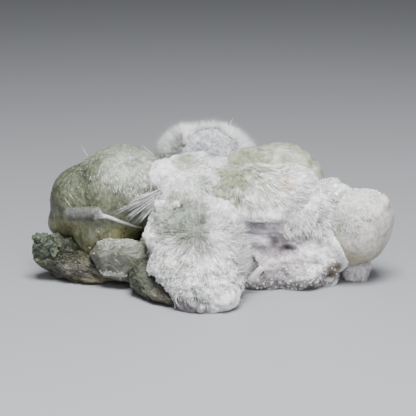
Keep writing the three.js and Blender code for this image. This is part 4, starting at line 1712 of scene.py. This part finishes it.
def ray_fan() -> RayGrowth:
    """The broken fan under the right globe."""
    return RayGrowth(
        node="ray_fan", slot="okenite_rays", seed=(8.5, -2.0, 22.0), blend=0.8, rows=150, columns=300,
        lobes=(
            FAN,
            beside(FAN, (4.2, -1.0, -1.0), 6.4),
            beside(FAN, (-6.0, 0.5, -1.0), 6.0),
            beside(FAN, (9.6, 0.0, 1.4), 5.4),
        ),
        lowest=FAN_UNDERSIDE, grain=(1.6, 0.5), knob_layers=((3.4, 1.0),), warp=1.3, crevice_shade=0.25,
        source=FAN_RAYS, pit=(3.5, 0.6), ridges=((3.4, 3.0, 0.5), (9.0, 1.8, 0.2)), streak=0.08,
        base=(238, 237, 236), swells=(Swell(1.1, (9.6, -12.6, 19.2), (7.0, 4.0, 1.6)),),
        coats=(
            Coat((122, 132, 104), (3.0, -8.0, 26.0), (10.0, 9.0, 6.4), 0.85, 0.8, 1.4),
            Coat((136, 140, 106), (6.0, -8.0, 27.4), (4.4, 5.0, 1.6), 0.6, 0.9, 0.7),
            Coat((226, 227, 220), (11.0, -12.0, 24.6), (4.0, 5.0, 3.0), 0.8, 0.9, 0.8),
            Coat((222, 209, 196), (17.0, -10.0, 26.6), (2.4, 3.0, 2.4), 0.7, 0.5, 1.2),
        ),
        naps=(
            Nap("coarse_rays", 800, (1.2, 4.5), (0.18, 0.34), stand=0.04, spread=0.12, steps=4, root=1.0,
                tip=1.14),
            Nap("fine_rays", 2800, (0.8, 2.6), (0.08, 0.17), stand=0.06, spread=0.18, steps=2, root=1.0,
                tip=1.12),
            Nap("nap", 3000, (0.2, 0.6), (0.12, 0.26), stand=0.25, spread=0.5, root=1.0, tip=1.1),
        ),
    )


def white_cushions() -> Growth:
    """The cushions of short wool in the middle."""
    return Growth(
        node="cushions", slot="okenite_wool", seed=(-6.0, 0.0, 22.0), blend=0.5, rows=150, columns=290,
        lobes=(
            CUSHION,
            beside(CUSHION, (-5.0, -4.0, 4.2), 4.7),
            beside(CUSHION, (0.9, 1.0, 6.3), 4.8),
            beside(CUSHION, (4.8, -3.6, 4.4), 4.1),
            beside(CUSHION, (0.0, -7.0, 1.0), 4.8),
            beside(CUSHION, (8.8, 0.0, 5.4), 4.4),
            beside(CUSHION, (-2.0, -9.0, -1.4), 4.2),
        ),
        knob_layers=((2.4, 0.5), (0.9, 0.2)), warp=0.8, grain=(1.4, 0.35), base=(228, 229, 228), crevice_shade=0.25,
        swells=(
            Swell(-2.2, (2.2, -2.0, 31.0), (5.0, 6.0, 4.0)),
            Swell(-1.4, (-2.2, -5.0, 30.4), (3.4, 5.0, 2.6)),
            Swell(-2.0, (-7.0, 0.0, 32.6), (4.6, 7.0, 3.6)),
            Swell(0.8, (-12.0, -6.0, 27.0), (4.0, 5.0, 4.0)),
            Swell(1.2, (-6.0, -13.0, 23.6), (5.0, 5.0, 4.0)),
            Swell(1.8, (1.0, -8.0, 23.5), (4.0, 5.0, 4.0)),
        ),
        coats=(
            Coat((172, 175, 158), (-7.6, -3.0, 31.0), (2.8, 5.0, 2.6), 0.95, 0.4, 1.2),
            # painted shade in a tan tone on the cushions' lower front
            Coat((152, 150, 130), (-8.0, -12.6, 24.0), (3.0, 5.0, 1.8), 0.8, 0.6, 1.2),
            Coat((178, 188, 174), (-3.0, -8.0, 26.0), (2.6, 5.0, 2.0), 0.6, 0.7, 1.2),
        ),
        naps=(
            Nap("nap", 8000, (0.25, 0.8), (0.1, 0.22), stand=0.25, spread=0.5, root=0.95, tip=1.06,
                uneven=0.12),
            Nap("bands", 700, (1.4, 3.6), (0.14, 0.3), stand=0.16, spread=0.14, steps=3, root=0.95, tip=1.12,
                comb=(1.0, 0.0, 0.8), area=spot((0.0, -5.0, 28.8), (6.0, 7.0, 4.6), 1.0, 0.6, 1.4)),
            Nap("stream", 1200, (1.6, 4.2), (0.14, 0.3), stand=0.16, spread=0.16, steps=3, root=0.95,
                tip=1.12, comb=(0.25, -0.6, -1.0), area=spot((-7.0, -12.0, 23.6), (6.0, 6.0, 4.0), 1.0, 0.4)),
        ),
    )


def wool_drift() -> WoolDrift:
    """The drift of matted wool on the right."""
    return WoolDrift(
        node="wool_drift", slot="okenite_wool", seed=(20.0, -1.0, 10.0), blend=0.7, rows=200, columns=380,
        lobes=(
            DRIFT,
            beside(DRIFT, (-9.6, -1.6, 0.6), 7.8),
            beside(DRIFT, (-0.6, 0.6, 10.2), 8.0),
            beside(DRIFT, (6.2, -1.6, 4.2), 5.4),
            beside(DRIFT, (6.4, -2.4, -3.4), 3.2),
            beside(DRIFT, (7.8, 1.2, 14.4), 3.4),
            beside(DRIFT, (-1.4, 11.0, 3.0), 11.0),
            beside(DRIFT, (-11.4, 2.4, 8.0), 6.4),
        ),
        stretch=(1.3, 1.0, 0.9), knob_layers=((4.4, 1.6), (1.8, 0.6)), warp=1.3, grain=(1.2, 0.5),
        base=(236, 233, 235), crevice_shade=0.5,
        swells=(
            Swell(2.2, (11.6, -7.6, 16.0), (5.4, 4.0, 2.8)),
            Swell(-1.6, (12.4, -12.0, 11.4), (5.0, 4.0, 2.0)),
            Swell(1.6, (7.4, -13.0, 10.0), (2.4, 5.0, 6.0)),
            Swell(-1.4, (14.9, -10.0, 12.2), (1.5, 4.0, 1.6)),
            Swell(-1.8, (18.4, -9.5, 10.0), (2.4, 4.0, 1.3)),
            Swell(-1.2, (9.6, -12.0, 8.4), (1.6, 3.0, 1.2)),
            Swell(-1.6, (10.0, -13.5, 5.4), (3.0, 4.0, 3.0)),
            Swell(-1.6, (27.6, -8.6, 2.0), (3.0, 5.0, 3.4)),
            Swell(1.0, (14.6, -11.5, 7.4), (3.0, 4.0, 2.0)),
            Swell(1.0, (22.0, -10.5, 5.4), (3.4, 4.0, 2.4)),
            Swell(-2.0, (31.4, -5.0, 2.4), (3.0, 6.0, 3.2)),
            Swell(-1.5, (31.8, -3.0, 23.4), (2.4, 5.0, 2.4)),
            Swell(-1.0, (13.0, -13.0, 1.0), (3.0, 4.0, 1.6)),
            Swell(-1.2, (24.0, -11.0, 0.8), (2.4, 4.0, 1.4)),
        ),
        coats=(
            # painted shade in the recess under the fan's rim
            Coat((118, 112, 118), (12.6, -12.0, 11.4), (6.4, 6.0, 2.8), 0.85, 0.9, 1.2),
            Coat((212, 206, 214), (12.0, -9.0, 14.9), (5.6, 5.5, 2.8), 0.95, 0.3, 1.4),
            Coat((156, 150, 156), (22.0, -11.5, 13.0), (3.6, 4.0, 2.0), 0.8, 0.7, 1.0),
            # painted shade in the hollow beside the ledge
            Coat((102, 94, 99), (16.4, -11.5, 11.6), (2.8, 4.0, 2.6), 0.8, 0.8, 0.9),
            Coat((160, 141, 116), (9.2, -13.0, 8.6), (1.5, 4.0, 1.2), 0.8, 0.5, 0.9),
            Coat((106, 96, 81), (29.2, -9.0, 4.6), (2.6, 5.0, 2.4), 1.0, 0.4, 1.0),
            # painted shade in ragged lilac patches over the lower front
            Coat((170, 163, 166), (15.0, -12.5, 6.4), (9.0, 4.0, 3.6), 0.75, 1.2, 1.6),
            # painted shade along the foot of the wool
            Coat((100, 94, 94), (16.0, -12.0, 0.6), (16.0, 7.0, 2.6), 0.85, 0.7, 1.0),
        ),
        naps=(
            Nap("rays", 2400, (1.0, 3.4), (0.12, 0.26), stand=0.05, spread=0.2, steps=3, root=1.0, tip=1.1),
            Nap("wool", 10000, (0.3, 1.1), (0.1, 0.24), stand=0.2, spread=0.6, root=1.0, tip=1.1,
                uneven=0.18),
        ),
        crumbs=(
            # greyish crumbs low on the wool: partly painted shade, to match the shade painted there
            Crumbs("crumbs", 160, (0.2, 0.6), (198, 194, 195),
                   spot((19.0, -10.0, 4.0), (11.0, 6.0, 5.0), 1.0, 0.5, 1.5)),
            Crumbs("saddle", 60, (0.4, 1.0), (236, 236, 236), spot((30.6, -5.0, 22.6), (2.4, 4.0, 2.0))),
        ),
    )


def foot_tuft() -> Growth:
    """The small tuft under the end globe."""
    return Growth(
        node="foot_tuft", slot="okenite_wool", seed=(35.6, -1.5, 2.6), blend=0.4, rows=64, columns=110,
        lobes=((35.2, -1.4, 2.6, 2.7, 3.2, 3.2), (37.3, -1.8, 2.4, 1.9, 2.4, 2.8)),
        raised=-0.3, knob_layers=((1.8, 0.6), (0.8, 0.25)), warp=0.8, grain=(0.8, 0.3), base=(222, 218, 222),
        crevice_shade=0.3, swells=(Swell(-0.9, (38.8, -3.0, 1.6), (1.6, 3.0, 2.0)),),
        naps=(Nap("nap", 2600, (0.2, 0.8), (0.09, 0.18), stand=0.5, spread=0.5, root=0.8, tip=1.1,
                  uneven=0.2),),
    )


def matrix_lumps() -> tuple[Lump, ...]:
    """The four lumps of the rock, the first under the left globe and the second in front."""
    common = dict(
        node="rock", slot="rock", blend=1.0, stretch=(1.4, 1.1, 0.7), grain=(1.2, 0.4),
        facet_layers=((3.4, 1.1), (1.5, 0.35)), warp=0.6, base=(64, 63, 50), crevice_shade=0.22,
    )
    front = (
        Coat((32, 34, 22), (-37.2, -6.4, 8.2), (4.6, 4.0, 2.4), 0.95, 0.5, 1.0),
        Coat((98, 94, 58), (-31.0, -8.0, 9.4), (4.6, 4.0, 2.4), 0.7, 0.7, 1.0),
        Coat((88, 86, 78), (-33.0, -8.0, 4.0), (8.0, 5.0, 2.0), 0.6, 0.8, 1.0),
        Coat((112, 103, 82), (-28.0, -8.0, 0.8), (12.0, 5.0, 1.2), 0.7, 0.7, 1.0),
        Coat((58, 66, 53), (-17.4, -16.0, 4.4), (3.2, 9.0, 5.4), 0.9, 0.5, 1.2),
        Coat((46, 41, 32), (-12.2, -22.0, 4.6), (2.8, 7.0, 4.6), 0.9, 0.4, 1.0),
        Coat((138, 140, 118), (-16.0, -11.0, 10.4), (3.0, 4.0, 3.4), 0.9, 0.4, 1.0),
    )
    left_crumbs = (
        Crumbs("mint_crumbs", 160, (0.15, 0.5), (58, 66, 52),
               spot((-38.6, -6.0, 8.4), (5.0, 4.0, 3.0), 1.0, 0.8, 1.0)),
        Crumbs("pale_crumbs", 200, (0.15, 0.45), (86, 84, 70),
               spot((-33.0, -8.0, 7.0), (8.0, 5.0, 4.0), 1.0, 0.8, 1.0)),
        Crumbs("olive_crumbs", 110, (0.15, 0.45), (76, 76, 50),
               spot((-32.0, -8.0, 9.0), (5.0, 4.0, 2.6), 1.0, 0.8, 1.0)),
    )
    front_crumbs = (
        Crumbs("teal_crumbs", 130, (0.12, 0.35), (72, 80, 68),
               spot((-17.0, -17.0, 4.4), (4.0, 9.0, 5.0), 1.0, 0.8, 1.0)),
    )
    back = (Coat((122, 117, 98), (-5.0, 22.0, 6.0), (40.0, 14.0, 14.0), 0.8, 0.8, 3.0),)
    return (
        Lump(seed=(-30.0, 1.0, 4.0), rows=120, columns=220, coats=front, crumbs=left_crumbs,
             swells=(Swell(1.2, (-29.0, -9.0, 1.0), (10.0, 5.0, 1.6)),),
             lobes=(ROCK, beside(ROCK, (-8.0, -1.0, 2.2), 4.6), (-41.4, -1.4, 5.4, 3.8, 3.6, 2.0)), **common),
        Lump(seed=(-8.0, -12.0, 2.5), rows=100, columns=200, coats=front, crumbs=front_crumbs,
             lobes=((*beside(ROCK, (21.4, -13.0, -1.8), 11.8), 15.4, 4.6),
                    (-16.6, -15.6, 4.6, 3.2, 5.6, 4.4), (-15.4, -9.0, 8.8, 3.6, 3.6, 3.6)), **common),
        Lump(seed=(-15.0, 12.0, 7.0), rows=80, columns=160, coats=back,
             lobes=((*beside(ROCK, (14.0, 11.0, 2.8), 14.0), 11.4, 11.0),), **common),
        Lump(seed=(6.0, 13.0, 6.0), rows=80, columns=160, coats=back,
             lobes=((*beside(ROCK, (35.0, 12.0, 1.8), 15.0), 10.6, 11.0),), **common),
    )


def feather_spray() -> Spray:
    """The feathery spray that falls from the cushions over the left globe."""
    return Spray(
        root=FEATHER_ROOT,
        guides=(
            ((-19.0, -11.8, 23.6), (-23.4, -11.9, 21.4)),
            ((-19.0, -12.4, 22.4), (-24.6, -12.2, 19.4)),
            ((-18.2, -12.8, 21.6), (-22.4, -12.0, 17.6)),
            ((-16.6, -12.8, 20.8), (-20.8, -11.2, 16.4)),
            ((-14.8, -12.4, 20.0), (-19.0, -10.0, 15.4)),
            ((-12.6, -12.0, 20.4), (-16.8, -8.6, 14.6)),
        ),
        coarse=340, fine=520, coarse_width=(0.24, 0.56), fine_width=(0.07, 0.15), dark=(92, 96, 86),
        jitter=0.6, blades=21,
    )


def needle_fringe() -> Spray:
    """The white needles that hang between the wool and the end globe."""
    return Spray(
        root=(25.8, -11.0, 15.6),
        guides=(
            ((25.2, -12.4, 14.2), (23.6, -13.2, 11.8)),
            ((25.6, -12.8, 13.6), (25.0, -13.6, 10.8)),
            ((26.0, -12.8, 13.6), (26.4, -13.6, 10.8)),
            ((26.8, -12.4, 14.4), (28.4, -13.2, 12.0)),
        ),
        coarse=26, fine=60, coarse_width=(0.14, 0.24), fine_width=(0.06, 0.12), jitter=0.2, points=4,
        light=(236, 236, 236), dark=(206, 206, 206),
    )


@dataclass(frozen=True)
class Studio:
    """A pale floor, soft light from above and the camera."""

    target: Triple = (-1.5, 0.0, 18.03)
    distance: float = 400.0
    elevation: float = 13.0
    focal_pixels: float = 1600.0
    frame_pixels: float = 416.0
    floor_size: float = 6.0
    floor_colour: Triple = (150.0, 152.0, 156.0)

    def build(self) -> None:
        """Sets up everything around the specimen."""
        self.floor()
        self.light("key", (0.03, -0.25, 0.46), 0.24, 7.4)
        self.light("fill", (0.12, -0.60, 0.20), 0.5, 2.2)
        self.world()
        self.camera()

    def floor(self) -> None:
        """A large pale plane."""
        half = self.floor_size / 2.0
        mesh = bpy.data.meshes.new("floor")
        corners = [(-half, -half, 0), (half, -half, 0), (half, half, 0), (-half, half, 0)]
        mesh.from_pydata(corners, [], [(0, 1, 2, 3)])
        colours = mesh.attributes.new("tint", "FLOAT_COLOR", "POINT")
        colours.data.foreach_set("color", [*linear(self.floor_colour), 1.0] * 4)
        graph = Graph("studio_floor")
        wash = graph.noise(graph.place(), 0.25, 2.0)
        mesh.materials.append(graph.surface(Base_Color=graph.varied(graph.tint(), wash, 0.02), Roughness=0.6))
        floor = bpy.data.objects.new("floor", mesh)
        bpy.context.scene.collection.objects.link(floor)

    def light(self, name: str, place: Triple, size: float, power: float) -> None:
        """A square soft light aimed at the specimen.

        Args:
            name: Name of the light.
            place: Where it stands, in metres.
            size: Its edge, in metres.
            power: Its power, in watts.
        """
        data = bpy.data.lights.new(name, "AREA")
        data.shape = "SQUARE"
        data.size = size
        data.energy = power
        lamp = bpy.data.objects.new(name, data)
        lamp.location = place
        aim = Vector((0.0, 0.0, 0.018)) - lamp.location
        lamp.rotation_euler = aim.to_track_quat("-Z", "Y").to_euler()
        bpy.context.scene.collection.objects.link(lamp)

    def world(self) -> None:
        """Faint even light from all around."""
        world = bpy.data.worlds.new("studio")
        world.use_nodes = True
        background = world.node_tree.nodes["Background"]
        background.inputs["Color"].default_value = (0.95, 0.97, 1.0, 1.0)
        background.inputs["Strength"].default_value = 0.16
        bpy.context.scene.world = world

    def camera(self) -> None:
        """The camera: placed from the target, the distance and the elevation."""
        data = bpy.data.cameras.new("camera")
        data.sensor_width = 36.0
        data.lens = self.focal_pixels / self.frame_pixels * data.sensor_width
        data.clip_start = 0.01
        camera = bpy.data.objects.new("camera", data)
        rise = math.radians(self.elevation)
        target = (np.array(self.target) + np.array(CAD_SHIFT)) * MM
        back = np.array([0.0, -math.cos(rise), math.sin(rise)]) * self.distance * MM
        camera.location = Vector(target + back)
        camera.rotation_euler = (math.pi / 2.0 - rise, 0.0, 0.0)
        bpy.context.scene.collection.objects.link(camera)
        bpy.context.scene.camera = camera


def main() -> None:
    """Builds the specimen piece by piece, then the studio."""
    rng = np.random.default_rng(RANDOM_SEED)
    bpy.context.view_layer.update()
    left, right, end = green_globes()
    puffball, broken, fan = fuzzy_puffball(), broken_ball(), ray_fan()
    cushions, drift, foot = white_cushions(), wool_drift(), foot_tuft()
    lumps = matrix_lumps()
    specimen = Specimen([left, right, end, puffball, broken, fan, cushions, drift, foot, *lumps])
    broken.neighbours = [cushions, drift]
    fan.neighbours = [broken, cushions, drift]
    cushions.neighbours = [broken, fan]
    drift.neighbours = [broken, end]

    waxy = WaxyFinish("green_wax").build()
    cream = WaxyFinish("cream_wax", roughness=0.3, depth=2.4, grain=0.14, drawn=0.2).build()
    fibre = FibreFinish("okenite_fibre").build()
    needle = FibreFinish("okenite_needle", roughness=0.3).build()
    felt = SilkyFinish("okenite_felt").build()
    ball_silk = SilkyFinish("broken_ball_silk", source=BALL_RAYS).build()
    fan_silk = SilkyFinish("fan_silk", source=FAN_RAYS, fineness=22.0).build()
    stone = RockFinish("matrix_rock").build()
    cloudy = GlassyFinish("cloudy_crystal").build()
    mint = GlassyFinish("mint_crystal_glass", transmission=0.1, roughness=0.5, cloud_size=0.8).build()
    clear = GlassyFinish("clear_prism", transmission=0.35, roughness=0.12, cloud=0.1, cloud_size=0.6).build()

    pieces = (
        (left, waxy, needle), (right, waxy, needle), (end, cream, needle), (puffball, felt, fibre),
        (broken, ball_silk, fibre), (fan, fan_silk, fibre), (cushions, felt, fibre), (drift, felt, fibre),
        (foot, felt, fibre),
    )
    for growth, finish, hair in pieces:
        growth.plant(rng, growth.dress(finish), specimen, hair)
    Rock(lumps).dress(stone)
    for lump in lumps[:2]:
        lump.plant(rng, lump.skin(), specimen, mint)
    CloudyCrystal().build(rng, cloudy, felt)
    MintCrystals().build(rng, mint)
    WoolRoll().build(rng, felt, fibre)
    PrismCrystal().build(clear)
    feather_spray().build(rng, "feather_spray", "okenite_wool", "cushions", fibre)
    needle_fringe().build(rng, "needle_fringe", "okenite_wool", "wool_drift", needle)
    LooseNeedles().build(rng, needle, clear)
    Studio().build()


if __name__ == "__main__":
    main()
